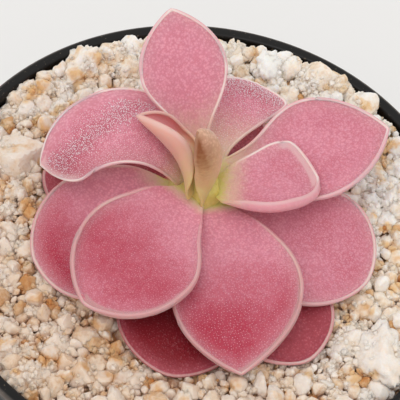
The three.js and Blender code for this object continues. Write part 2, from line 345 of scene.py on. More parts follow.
# What a leaf has unless it says otherwise; a pair that has to do with width or sides is left, then right.
leafDefaults = {
    "bend": 0,  # how far the leaf turns sideways over its length
    "baseRadius": None,  # where it starts, out from the crown's axis; None is at the stem's face
    "base": 0.2,  # its width at the start, as a share of the widest
    "shoulder": 1.5,  # how late it widens
    "point": 0.62,  # how blunt it ends, blunter when lower
    "flare": (0, 0),  # how much wider the very base is
    "roll": 0,  # how far the blade tips to a side
    "curl": (0, 0),  # how far its sides roll in
    "curlFrom": 0.55,  # from what share of the half width
    "wave": 0.25,  # the height of the waves along the margin
    "waves": 1.6,  # their number
    "hem": (1.3, 50),  # the turned-up margin's width and angle
    "depth": (0.1, 0.4),  # how red it is at the start and at the peak, partly pigment and partly painted shade; below zero it is painted paler, as painted light
    "peak": (0.95, 0),  # where the red peaks, and how much it fades past that
    "shade": (0, 0),  # how much redder the sides are, partly pigment and partly painted shade
    "glow": 0.22,  # how far out the yellow-green of the base reaches
    "rimCover": 1,  # how pale the rim is, lowered on some front leaves as painted shade
    "band": (0.16, 2, 0),  # the rim line's width, and where a wider band on the left starts and its width
    "dull": 0,  # how much painted shade dulls the rim, for rims that face away from the light
    "paleUnder": 2.4,  # the width of the pale margin of the underside
    "hairs": (0.5, 0.08),  # their spacing and the radius of their drops, or None
    "hairFinish": "gland",
    "bare": (0, 0),  # the width of a margin without hairs
    "dew": (),  # the line that a wet streak follows, along and across
    "dewReach": 1.5,
    "skin": "leaf",
}

# Slope is the angle over the level at even steps from the start to the tip.
leaves = {
    "leaf_lowest_front": {
        "azimuth": 269, "height": 0.95, "length": 30, "width": 21, "widest": 0.66, "flare": (2, 2),
        "slope": (1, 0, -3), "roll": -2, "cup": 3, "hem": (0.8, 20), "depth": (1.1, 1.3), "rimCover": 0.35,
        "dull": 0.8, "hairs": (0.4, 0.045), "hairFinish": "old", "skin": "old_leaf",
    },
    "leaf_lowest_left": {
        "azimuth": 174, "height": 0.9, "length": 25, "width": 18, "widest": 0.6, "flare": (3, 3),
        "slope": (1, 0, -3), "cup": 4, "depth": (0.7, 0.7), "rimCover": 0.5, "dull": 0.8,
        "hairs": (0.42, 0.055), "hairFinish": "old", "skin": "old_leaf",
    },
    # painted paler all over: painted light where it lies in shade under its neighbours
    "leaf_lowest_back": {
        "azimuth": 100, "height": 2, "length": 24, "width": (17, 24), "widest": 0.6, "base": 0.17,
        "slope": (0, -3, -5), "cup": 4, "depth": (-0.4, -0.4), "hairs": (0.6, 0.055), "hairFinish": "old",
        "skin": "old_leaf",
    },
    "leaf_lowest_right": {
        "azimuth": 309, "height": 2.3, "length": 31, "width": 19, "widest": 0.7, "point": 0.6,
        "slope": (3, -2, -9), "cup": 4, "hem": (1.6, 60), "depth": (0.35, 0.45), "rimCover": 0.9, "dull": 0.8,
        "hairs": (0.42, 0.055), "hairFinish": "old", "skin": "old_leaf",
    },
    # painted paler towards its start: painted light where leaf_left_upper shades it
    "leaf_left_middle": {
        "azimuth": 213, "height": 2.2, "length": 28, "width": (24.6, 26), "widest": (0.64, 0.46),
        "base": (0.2, 0.34), "shoulder": (1.5, 0.9), "point": (0.42, 0.55), "flare": (0, 1.5),
        "slope": (9, 0, -10), "cup": 10, "depth": (-2.0, 0.95), "glow": 0.2, "rimCover": 0.95, "dull": 0.8,
        "hairs": (0.34, 0.05),
    },
    "leaf_right_lower": {
        "azimuth": 342, "height": 4.1, "length": 28.6, "width": (23.6, 23.8), "widest": (0.64, 0.6),
        "point": (0.5, 0.62), "slope": (8, -2, -16), "roll": 3, "cup": 6, "hem": (1.4, 60),
        "depth": (-0.3, 0.3), "glow": 0.1, "rimCover": 0.95, "dull": 0.5, "hairs": (0.38, 0.06),
    },
    "leaf_left_upper": {
        "azimuth": 183, "bend": 55, "height": 3.15, "length": 34.8, "width": (13.6, 18.4), "widest": (0.8, 0.4),
        "base": (0.1, 0.09), "shoulder": (1.8, 2.1), "point": (0.45, 0.98), "slope": (65.5, 47, -16, -66),
        "roll": -15, "cup": -27, "hem": (1.2, 45), "depth": (-0.35, 0.2), "shade": (0.8, -0.1), "glow": 0.28,
        "rimCover": 0.95, "dull": 0.1, "band": (0.16, 0.8, 1.2), "hairs": (0.3, 0.058), "hairFinish": "dewy",
        "bare": (0, 2.2), "dew": ((0.4, -0.86), (0.47, -0.76), (0.6, -0.18), (0.73, 0.22), (0.9, 0.36)),
        "dewReach": 1.8,
    },
    "leaf_back_right": {
        "azimuth": 76, "bend": -16, "height": 3.4, "length": 23.8, "width": (17, 14.5), "widest": (0.6, 0.87),
        "base": (0.14, 0.16), "shoulder": (1.7, 4.6), "point": (0.62, 0.48), "flare": (0.5, 1.6),
        "slope": (24, 14, -18), "cup": 10, "hem": (1.0, 40), "depth": (0.1, 0.1), "glow": 0.62,
        "hairs": (0.34, 0.065), "hairFinish": "dewy",
        "dew": ((0.72, 1), (0.86, 0.75), (0.93, 0.16), (0.95, -0.4), (0.92, -0.9)), "dewReach": 2.6,
    },
    "leaf_front_right": {
        "azimuth": 288.5, "height": 5.5, "length": 31.6, "width": (25.3, 18.4), "widest": (0.55, 0.6),
        "base": (0.28, 0.2), "shoulder": 1, "point": (0.85, 0.8), "slope": (8, -4, -18), "roll": 6, "cup": 6,
        "hem": (1.9, 82), "depth": (-0.6, 0.9), "peak": (0.8, 0.2), "shade": (-0.15, 0.2), "glow": 0.06,
        "rimCover": 0.95, "dull": 1, "band": (0.16, 0.5, 1.1), "hairs": (0.4, 0.062),
    },
    "leaf_right_upper": {
        "azimuth": 27.5, "bend": -8, "height": 5.6, "length": 31.3, "width": (19.8, 20.5),
        "widest": (0.6, 0.58), "base": (0.3, 0.16), "shoulder": (2.6, 1.5), "point": 0.8, "flare": (2.0, 0.5),
        "slope": (15, 13, 4), "cup": 10, "hem": (1.7, 76), "depth": (0.08, 0.08), "glow": 0.34,
        "hairs": (0.36, 0.05),
    },
    "leaf_front_left": {
        "azimuth": 238.5, "height": 6.9, "length": 28.2, "width": (24, 20.2), "widest": (0.58, 0.54),
        "base": (0.12, 0.34), "shoulder": (1.5, 1.1), "point": (0.55, 0.62), "slope": (10, -2, -18), "cup": 10,
        "hem": (2.3, 92), "depth": (-0.5, 0.8), "peak": (0.66, 0.35), "shade": (-0.3, 0.1), "glow": 0.1,
        "rimCover": 0.95, "dull": 0.85, "band": (0.16, 0.5, 2.1), "hairs": (0.34, 0.05),
    },
    "leaf_back_upright": {
        "azimuth": 116.5, "baseRadius": 3.7, "height": 5.1, "length": 29.6, "width": (15.2, 15.6),
        "widest": 0.66, "base": (0.08, 0.14), "shoulder": (4.6, 2.7), "point": 0.8, "flare": (0.4, 1.0),
        "slope": (53, 51, 39), "cup": 10, "hem": (1.3, 45), "depth": (-0.2, -0.1), "glow": 0.42,
        "hairs": (0.36, 0.045),
    },
    "leaf_right_inner": {
        "azimuth": 10, "bend": 22, "height": 7.9, "length": 17.6, "width": (18.6, 16.2), "widest": (0.78, 0.52),
        "base": (0.3, 0.05), "shoulder": (1.1, 1.0), "point": (0.7, 0.42), "flare": (0, 0.4),
        "slope": (34, 14, 5, 2, 24), "roll": -9, "cup": 16, "curl": (0, 100), "curlFrom": 0.64,
        "hem": (0.9, 30), "depth": (0.1, 0.1), "glow": 0.3, "dull": 0.15, "band": (0.16, 0.62, 1.5),
        "paleUnder": 0.4, "hairs": (0.36, 0.045),
    },
    "young_leaf_left": {
        "azimuth": 160, "height": 9.1, "length": 15.3, "width": (12, 14.3), "widest": (0.42, 0.46),
        "base": (0.45, 0.14), "shoulder": (1.5, 1.4), "point": (0.62, 0.7), "flare": (1.0, 0.8),
        "slope": (50, 40, 22), "roll": 42, "cup": 60, "curl": (40, 98), "hem": (0.4, 15), "depth": (0.2, 0.3),
        "glow": 0.5, "paleUnder": 0.7, "hairs": None, "skin": "bud_leaf",
    },
    # the brown on its right half is painted shade inside the rolled blade
    "young_leaf_centre": {
        "azimuth": 0, "baseRadius": 0.3, "height": 8.3, "length": 16.5, "width": 10.4, "widest": 0.45,
        "base": 0.4, "flare": (1.2, 1.2), "slope": (68, 94, 150), "roll": -10, "cup": 85, "hem": (0.4, 15),
        "depth": (0.0, 0.25), "shade": (-0.1, 2.0), "glow": 0.74, "rimCover": 0.25, "paleUnder": 0.5,
        "hairs": None, "skin": "young_leaf",
    },
}


# a value that may differ between the left and right sides of a leaf, for t across it
def sided(value, t):
    return np.where(np.asarray(t) > 0, value[0], value[1]) if isinstance(value, tuple) else value


def halfWidth(leaf, share, t):
    share = np.clip(share, 0, 1)
    widest, base = sided(leaf["widest"], t), sided(leaf["base"], t)
    rise = np.sin(np.pi / 2 * np.clip(share / widest, 0, 1)) ** sided(leaf["shoulder"], t)
    past = np.clip(share - widest, 0, 1) / (1 - widest)
    fall = np.clip(1 - past ** 2, 0, 1) ** sided(leaf["point"], t)
    flare = sided(leaf["flare"], t) * (1 - smooth(share / leafBuild["flareReach"]))
    return sided(leaf["width"], t) / 2 * np.where(share < widest, base + (1 - base) * rise, fall) + flare


# the midrib's point and its side and up directions at each share of the length
def leafSpine(leaf, share):
    knots = np.linspace(0, 1, len(leaf["slope"]))
    steps = 200
    ticks = (np.arange(steps) + 0.5) / steps

    def directions(s):
        azimuth = np.radians(leaf["azimuth"] + leaf["bend"] * (np.clip(s, 0, 1) - 0.5))
        slope = np.radians(np.interp(s, knots, leaf["slope"]))
        level = np.stack([np.cos(azimuth), np.sin(azimuth), np.zeros_like(azimuth)], -1)
        forward = level * np.cos(slope)[..., None]
        forward[..., 2] = np.sin(slope)
        return level, forward

    forward = directions(ticks)[1]
    path = np.concatenate([np.zeros((1, 3)), np.cumsum(forward * leaf["length"] / steps, axis=0)])
    startLevel, startForward = directions(np.zeros(1))
    radius = leaf["baseRadius"]
    if radius is None:
        part = leaf["height"] / leafBuild["crownHeight"]
        radius = leafBuild["crownRadius"] * (1 - part) + leafBuild["crownTopRadius"] * part + leafBuild["gap"]
        radius += leafBuild["thickness"] / 2 * startForward[0][2]
    start = np.array(leafBuild["crown"]) + startLevel[0] * radius + (0, 0, leaf["height"])
    marks = np.linspace(0, 1, steps + 1)
    inside = np.clip(share, 0, 1)
    point = start + np.stack([np.interp(inside, marks, path[:, k]) for k in range(3)], -1)
    point += np.minimum(share, 0)[..., None] * leaf["length"] * startForward[0]
    level, forward = directions(share)
    side = np.stack([-level[..., 1], level[..., 0], level[..., 2]], -1)
    up = np.cross(forward, side)
    roll = (np.radians(leaf["roll"]) * smooth(2 * share))[..., None]
    side = side * np.cos(roll) + up * np.sin(roll)
    return point, side, np.cross(forward, side)


# the middle surface of a blade at shares of its length and at t across it, from -1 (right) to 1 (left)
def bladeSurface(leaf, share, t):
    point, side, up = leafSpine(leaf, share)
    half = halfWidth(leaf, share, t)
    cupRise, cupStart = leafBuild["cupReach"]
    cup = math.radians(leaf["cup"]) * smooth(np.minimum(share * cupRise + cupStart, 1))
    curl = np.where(t > 0, leaf["curl"][0], leaf["curl"][1]) * np.pi / 180
    curl = curl * smooth(share / leafBuild["curlReach"])
    lateral = np.zeros_like(share)
    lift = np.zeros_like(share)
    samples = 24
    for k in range(samples):
        u = np.abs(t) * (k + 0.5) / samples
        angle = cup * u + curl * smooth((u - leaf["curlFrom"]) / (1 - leaf["curlFrom"]))
        lateral += np.cos(angle) / samples
        lift += np.sin(angle) / samples
    reach = half * np.abs(t)
    swing = np.sin(2 * np.pi * (leaf["waves"] * share) + np.where(t > 0, leafBuild["waveOffset"], 0))
    wave = leaf["wave"] * t * t * smooth(share * 1.6) * swing
    return point + side * (np.sign(t) * reach * lateral)[..., None] + up * (reach * lift + wave)[..., None]


# the normals of a grid of points, each averaged with its neighbours a number of times
def gridNormals(points, rounds):
    normal = np.cross(np.gradient(points, axis=0), np.gradient(points, axis=1))
    for k in range(rounds + 1):
        if k:
            near = np.pad(normal, ((1, 1), (1, 1), (0, 0)), mode="edge")
            normal = normal * 2 + near[2:, 1:-1] + near[:-2, 1:-1] + near[1:-1, 2:] + near[1:-1, :-2]
        normal = normal / np.maximum(np.linalg.norm(normal, axis=-1, keepdims=True), 1e-9)
    return normal


# what a leaf's skin and hairs read, on its upper face, its underside and the rows of its rim
def storeLeafValues(mesh, leaf, share, t, inward, margin):
    rimRows = leafBuild["rimRows"]
    none, full = share * 0, share * 0 + 1

    def everywhere(onTop, onBottom, onRim):
        return np.concatenate([onTop.ravel(), onBottom.ravel(), np.tile(onRim, rimRows)])

    # the cream line along the rim, its top partly a painted highlight, hardly pale near the heart, with a wider
    # band on the left of some leaves
    cover = leaf["rimCover"]
    lineWidth, bandStart, bandWidth = leaf["band"]
    softEdge, softStart, across = leafBuild["bandFade"]
    start, length = leafBuild["rimStart"]
    grown = smooth((share - start) / length)
    crest = smooth(1 - inward / lineWidth) * grown
    band = smooth((bandWidth - inward) / softEdge) * smooth((share - bandStart) / softStart) * (t > across)
    beneath = smooth(1.5 * (1 - inward / leaf["paleUnder"])) * cover
    storeValues(mesh, "rim", everywhere(np.maximum(crest, band) * cover, beneath, grown[margin] * cover))
    down = np.repeat(np.linspace(*leafBuild["rimDown"], rimRows).clip(0, 1), len(margin[0]))
    crestRows = down * np.tile(grown[margin], rimRows) * cover
    storeValues(mesh, "crest", np.concatenate([crest.ravel() * cover, none.ravel(), crestRows]))
    # paler towards the rim: a painted sheen
    haze = np.clip(1 - inward / leafBuild["haze"], 0, 1) ** 1.5 * grown
    storeValues(mesh, "haze", everywhere(haze, none, none[margin]))
    storeValues(mesh, "along", everywhere(share, share, share[margin]))
    storeValues(mesh, "under", everywhere(none, full, full[margin] * 0.3))
    for name in ("dull", "glow"):
        storeValues(mesh, name, everywhere(full * leaf[name], full * leaf[name], full[margin] * leaf[name]))

    edge, soft = leafBuild["hairEdge"]
    start, length = leafBuild["hairStart"]
    hairs = smooth((inward - edge - sided(leaf["bare"], t)) / soft) * smooth((share - start) / length)
    storeValues(mesh, "hairs", everywhere(hairs, none, none[margin]))
    dew = none
    if leaf["dew"]:
        marks = np.linspace(0, len(leaf["dew"]) - 1, 30)
        path = [np.interp(marks, np.arange(len(leaf["dew"])), [p[k] for p in leaf["dew"]]) for k in (0, 1)]
        off = np.hypot(
            (share[..., None] - path[0]) * leaf["length"],
            (t[..., None] - path[1]) * sided(leaf["width"], t)[..., None] / 2,
        )
        dew = np.exp(-(off.min(axis=-1) / leaf["dewReach"]) ** 2)
    storeValues(mesh, "dew", everywhere(dew * hairs, none, none[margin]))

    first, last = leaf["depth"]
    peak, fade = leaf["peak"]
    depth = first + (last - first) * smooth(share / peak) - fade * smooth((share - peak) / 0.35)
    depth = depth + sided(leaf["shade"], t) * t * t + leafBuild["dewDepth"] * dew
    storeValues(mesh, "depth", everywhere(depth, depth, depth[margin]))

    # a map in millimetres, the underside's 40 mm to the side so that its pattern differs
    lateral = halfWidth(leaf, share, t) * t
    u = everywhere(lateral, lateral + 40, lateral[margin])
    v = everywhere(share * leaf["length"], share * leaf["length"], share[margin] * leaf["length"])
    layer = mesh.uv_layers.new(name="BladeMap")
    corner = np.empty(len(mesh.loops), dtype=np.int32)
    mesh.loops.foreach_get("vertex_index", corner)
    layer.data.foreach_set("uv", np.stack([u[corner], v[corner]], -1).astype(np.float32).ravel())


# a closed blade: two faces and a rounded rim, on a grid that is a half disc so that its tip is smooth
def makeLeaf(name, leaf):
    rows, columns, rimRows = leafBuild["rows"], leafBuild["columns"], leafBuild["rimRows"]
    a, b = np.meshgrid(np.linspace(0, 1, rows + 1), np.linspace(-1, 1, columns + 1), indexing="ij")
    # rows and columns lie closer at the margins
    a, b = 0.6 * a + 0.4 * np.sin(a * np.pi / 2), 0.5 * b + 0.5 * np.sin(b * np.pi / 2)
    x = a * np.sqrt(1 - b * b / 2)
    y = b * np.sqrt(1 - a * a / 2)
    room = np.sqrt(np.clip(1 - x * x, 0, 1))
    t = np.where(room > 1e-6, np.clip(y / np.maximum(room, 1e-6), -1, 1), 0)
    share = x * (1 + leafBuild["tail"]) - leafBuild["tail"]
    # the rim bulges out and the hem draws in, so the blade is made that much larger
    hemWidth, hemAngle = leaf["hem"][0], math.radians(leaf["hem"][1])
    drawn = hemWidth * (1 - math.sin(hemAngle) / hemAngle) - leafBuild["rimReach"]
    width = leaf["width"] if isinstance(leaf["width"], tuple) else (leaf["width"], leaf["width"])
    leaf = {**leaf, "width": tuple(w + 2 * drawn for w in width), "length": leaf["length"] + drawn}
    middle = bladeSurface(leaf, share, t)
    normal = gridNormals(middle, 10)

    # the margin, from the right of the base round the tip to the left and back across the base
    edge = [(i, 0) for i in range(rows)] + [(rows, j) for j in range(columns)]
    edge += [(i, columns) for i in range(rows, 0, -1)] + [(0, j) for j in range(columns, 0, -1)]
    ei, ej = np.array(edge).T
    margin = middle[ei, ej]
    freeCount = 2 * rows + columns  # the part of it that isn't inside the crown
    tree = kdtree.KDTree(freeCount)
    for k in range(freeCount):
        tree.insert(margin[k], k)
    tree.balance()
    nearest = [tree.find(p) for p in middle.reshape(-1, 3)]
    inward = np.array([found[2] for found in nearest]).reshape(middle.shape[:2])
    closest = np.array([found[1] for found in nearest]).reshape(middle.shape[:2])

    def marginSides(rim, normals):
        tangent = np.roll(rim, -1, axis=0) - np.roll(rim, 1, axis=0)
        outward = np.cross(tangent / np.linalg.norm(tangent, axis=1, keepdims=True), normals)
        return outward / np.linalg.norm(outward, axis=1, keepdims=True)

    # the hem: the margin bends up along an arc, which draws it in a little
    outward = marginSides(margin, normal[ei, ej])
    angle = hemAngle * smooth((share - 0.05) / 0.25) * np.clip(1 - inward / hemWidth, 0, 1)
    angle = np.maximum(angle, 1e-4)
    radius = np.clip(hemWidth - inward, 0, None) / angle
    middle = middle + normal * (radius * (1 - np.cos(angle)))[..., None]
    middle = middle - outward[closest] * (radius * (angle - np.sin(angle)))[..., None]
    normal = gridNormals(middle, 2)
    margin = middle[ei, ej]
    lift = normal[ei, ej]
    outward = marginSides(margin, lift)

    full = smooth(inward / leafBuild["rimTaper"])
    half = leafBuild["rimHalf"] + (leafBuild["bladeHalf"] - leafBuild["rimHalf"]) * full
    top = middle + normal * half[..., None]
    bottom = middle - normal * half[..., None]
    rim = []
    for k in range(1, rimRows + 1):
        turn = math.pi * k / (rimRows + 1)
        high, wide = math.cos(turn) * half[ei, ej], math.sin(turn) ** 0.7 * leafBuild["rimReach"]
        rim.append(margin + lift * high[:, None] + outward * wide)
    rim = np.array(rim)

    count = (rows + 1) * (columns + 1)
    number = np.arange(count).reshape(rows + 1, columns + 1)
    faces = []
    for i in range(rows):
        for j in range(columns):
            a1, b1, c1, d1 = number[i, j], number[i + 1, j], number[i + 1, j + 1], number[i, j + 1]
            faces.append((a1, b1, c1, d1))
            faces.append((count + a1, count + d1, count + c1, count + b1))
    loop = len(edge)
    rings = [number[ei, ej]]
    rings += [2 * count + k * loop + np.arange(loop) for k in range(rimRows)]
    rings += [count + number[ei, ej]]
    for upper, lower in zip(rings[:-1], rings[1:]):
        for k in range(loop):
            n = (k + 1) % loop
            faces.append((upper[k], lower[k], lower[n], upper[n]))
    points = np.concatenate([top.reshape(-1, 3), bottom.reshape(-1, 3), rim.reshape(-1, 3)]) * mm
    mesh = bpy.data.meshes.new(name)
    mesh.from_pydata(points.tolist(), [], [tuple(int(v) for v in f) for f in faces])
    smoothShade(mesh)
    storeLeafValues(mesh, leaf, share, t, inward, (ei, ej))
    return mesh


def pieceName(node):
    return "".join(word.capitalize() for word in node.split("_"))


leafTissue = {
    "Subsurface Weight": 0.35, "Subsurface Radius": (1.0, 0.35, 0.25), "Subsurface Scale": 0.0012,
    "IOR": 1.4, "Coat Weight": 0.08, "Coat Roughness": 0.3, "Sheen Weight": 0.12, "Sheen Roughness": 0.4,
}

# what all skins share
leafTints = {
    "paintedLight": (253, 176, 196), "shadedRim": (202, 152, 152), "shadedCrest": (222, 194, 186),
    "blotches": 160, "cells": 2.3, "net": 0.35, "spots": 0.25, "streaks": 1.2, "cellDepth": 0.00012,
}

# Cover is how much of the top's colour the underside's hides.
skins = {
    "leaf": {
        "light": (228, 155, 173), "deep": (178, 46, 72), "haze": (224, 172, 180), "cream": (224, 192, 168),
        "glow": (212, 200, 116), "rim": (224, 178, 182), "crest": (240, 220, 216), "under": (222, 158, 166),
        "cover": 0.8, "roughness": 0.46, "bump": 0.35,
    },
    "old_leaf": {
        "light": (206, 96, 112), "deep": (136, 26, 38), "haze": (190, 92, 106), "cream": (190, 130, 110),
        "glow": (180, 160, 110), "rim": (212, 150, 154), "crest": (232, 196, 196), "under": (190, 110, 110),
        "cover": 0.8, "roughness": 0.5, "bump": 0.35,
    },
    "bud_leaf": {
        "light": (228, 156, 156), "deep": (218, 132, 140), "haze": (220, 148, 148), "cream": (212, 180, 136),
        "glow": (208, 188, 124), "rim": (224, 182, 172), "crest": (232, 200, 190), "under": (222, 166, 150),
        "cover": 0.95, "roughness": 0.42, "bump": 0.1, "spots": 0.05, "slot": "young_leaf",
    },
    # deep is painted shade, the brown inside the rolled young leaf; light is partly a painted highlight on its
    # outer side
    "young_leaf": {
        "light": (230, 186, 158), "deep": (140, 78, 38), "haze": (226, 184, 156), "cream": (212, 180, 130),
        "glow": (208, 188, 124), "rim": (230, 196, 168), "crest": (238, 214, 190), "under": (198, 140, 122),
        "cover": 0.0, "roughness": 0.38, "bump": 0.1, "spots": 0.05,
    },
}


def leafSkin(name, skin):
    material, tree, shader = newMaterial(name, leafTissue)
    skin = {**leafTints, **skin}
    colour = {key: paint(*value) for key, value in skin.items() if isinstance(value, tuple)}
    uv = addNode(tree, "ShaderNodeUVMap", uv_map="BladeMap").outputs[0]
    blotch = mottleAt(tree, readPlace(tree), skin["blotches"])
    grain = cellsAt(tree, uv, skin["cells"])
    rim, dull = readValue(tree, "rim"), readValue(tree, "dull")
    # the depth is partly painted shade; below zero it mixes towards the painted light colour, painting shaded
    # parts paler
    uneven = math2(tree, "ADD", readValue(tree, "depth"), between(tree, blotch, -0.12, 0.12))
    body = mixColors(tree, uneven, colour["light"], colour["deep"])
    body = mixColors(tree, math2(tree, "MULTIPLY", uneven, -1.0), body, colour["paintedLight"])
    # paler towards the rim: a painted sheen
    haze = math2(tree, "MULTIPLY", readValue(tree, "haze"), between(tree, blotch, 0.6, 1.0))
    body = mixColors(tree, haze, body, colour["haze"])
    # small pale spots at the middle of each cell and a darker net between them
    net = between(tree, grain.outputs["Bump"], skin["net"], 0.0)
    body = mixColors(tree, net, body, colour["deep"])
    spots = math2(tree, "MULTIPLY", grain.outputs["Centre"], skin["spots"])
    body = mixColors(tree, spots, body, colour["rim"])
    beneath = math2(tree, "MULTIPLY", readValue(tree, "under"), skin["cover"])
    body = mixColors(tree, beneath, body, colour["under"])
    # rims dulled by painted shade where they face away from the light
    body = mixColors(tree, rim, body, mixColors(tree, dull, colour["rim"], colour["shadedRim"]))
    crest = mixColors(tree, dull, colour["crest"], colour["shadedCrest"])
    # the palest line along the top of the rim: the margin's pale colour and a painted highlight
    body = mixColors(tree, readValue(tree, "crest"), body, crest)
    # the base is cream, and yellow-green close to the heart, with a streaky end
    streak = math2(tree, "SUBTRACT", noiseAt(tree, uv, skin["streaks"], 3.0), 0.5)
    glow = math2(tree, "DIVIDE", readValue(tree, "along"), readValue(tree, "glow"))
    glow = math2(tree, "ADD", glow, math2(tree, "MULTIPLY", streak, 0.5))
    body = mixColors(tree, mapRange(tree, glow, 1.25, 0.3), body, colour["cream"])
    body = mixColors(tree, mapRange(tree, glow, 0.6, 0.1), body, colour["glow"])
    tree.links.new(body, shader.inputs["Base Color"])
    rough = between(tree, blotch, skin["roughness"] - 0.06, skin["roughness"] + 0.08)
    tree.links.new(rough, shader.inputs["Roughness"])
    height = math2(tree, "MULTIPLY", grain.outputs["Bump"], math2(tree, "SUBTRACT", 1.0, rim))
    setBump(tree, shader, height, skin["bump"], skin["cellDepth"])
    return material


skinMaterials = {skin: leafSkin(pieceName(skin) + "Skin", skins[skin]) for skin in skins}

leafMeshes = {}
for node, values in leaves.items():
    leaf = {**leafDefaults, **values}
    piece = addObject(pieceName(node), makeLeaf(pieceName(node), leaf), skinMaterials[leaf["skin"]])
    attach(piece, "root")
    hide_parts(node)
    leafMeshes[node] = piece
print("leaves made:", len(leafMeshes))

# Heart

heart = {
    "outline": (
        (9.6, 0.2), (8.6, 2.0), (6.4, 3.2), (4.0, 4.4), (2.7, 6.0), (2.7, 7.8), (2.3, 9.2), (1.3, 10.0),
        (0.0, 10.4),
    ),
    "lobes": 5,
    "lobeDepth": 0.12,
    "sides": 40,
    "rings": 24,
    "blotches": 300,
    "crimsonShade": (3.2, 1.8),  # the heights over the crown's foot between which it turns crimson: the red of the leaf bases and painted shade under the leaves
}

heartTissue = {
    "Subsurface Weight": 0.5, "Subsurface Radius": (1.0, 0.9, 0.3), "Subsurface Scale": 0.0015,
    "Roughness": 0.42, "IOR": 1.4,
}


# the swollen top of the stem, where the leaf bases run together
def makeHeart():
    radii = [r for r, _ in heart["outline"]]
    heights = [z for _, z in heart["outline"]]
    marks = np.linspace(0, 1, len(radii))
    x0, y0, z0 = leafBuild["crown"]
    points = []
    for ring in range(heart["rings"]):
        u = ring / heart["rings"]
        radius, height = np.interp(u, marks, radii), np.interp(u, marks, heights)
        for i in range(heart["sides"]):
            turn = 2 * math.pi * i / heart["sides"]
            reach = radius * (1 + heart["lobeDepth"] * math.cos(heart["lobes"] * turn + 3 * u) * u)
            points.append((x0 + reach * math.cos(turn), y0 + reach * math.sin(turn), z0 + height))
    points += [(x0, y0, z0 + heights[-1]), (x0, y0, z0 + heights[0])]
    faces = ringFaces(0, heart["rings"], heart["sides"], len(points) - 1, len(points) - 2)
    mesh = bpy.data.meshes.new("Heart")
    mesh.from_pydata([(x * mm, y * mm, z * mm) for x, y, z in points], [], faces)
    smoothShade(mesh)
    return mesh


def heartMaterial():
    material, tree, shader = newMaterial("HeartTissue", heartTissue)
    place = readPlace(tree)
    body = mixColors(tree, mottleAt(tree, place, heart["blotches"]), paint(204, 188, 100), paint(222, 206, 126))
    # crimson where it spreads out under the leaves: the red of the leaf bases and painted shade in the gaps
    # between them
    high, low = [(leafBuild["crown"][2] + z) * mm for z in heart["crimsonShade"]]
    body = mixColors(tree, mapRange(tree, readHeight(tree, place), high, low), body, paint(176, 52, 70))
    tree.links.new(body, shader.inputs["Base Color"])
    return material


piece = addObject("Heart", makeHeart(), heartMaterial())
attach(piece, "root")
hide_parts("crown")
print("heart made")

# Hairs

hairField = {
    "stalk": 2.6,  # its height, in drop radii
    "stalkRadius": 0.025,
    "sides": 3,
    "lean": 0.22,
    "sizes": (0.75, 1.25),
    "dewSpacing": 0.19,
    "dewDrop": 0.085,
    "density": 3.0e7,  # the most to a square metre, before the spacing thins them
    "seed": 5,
}


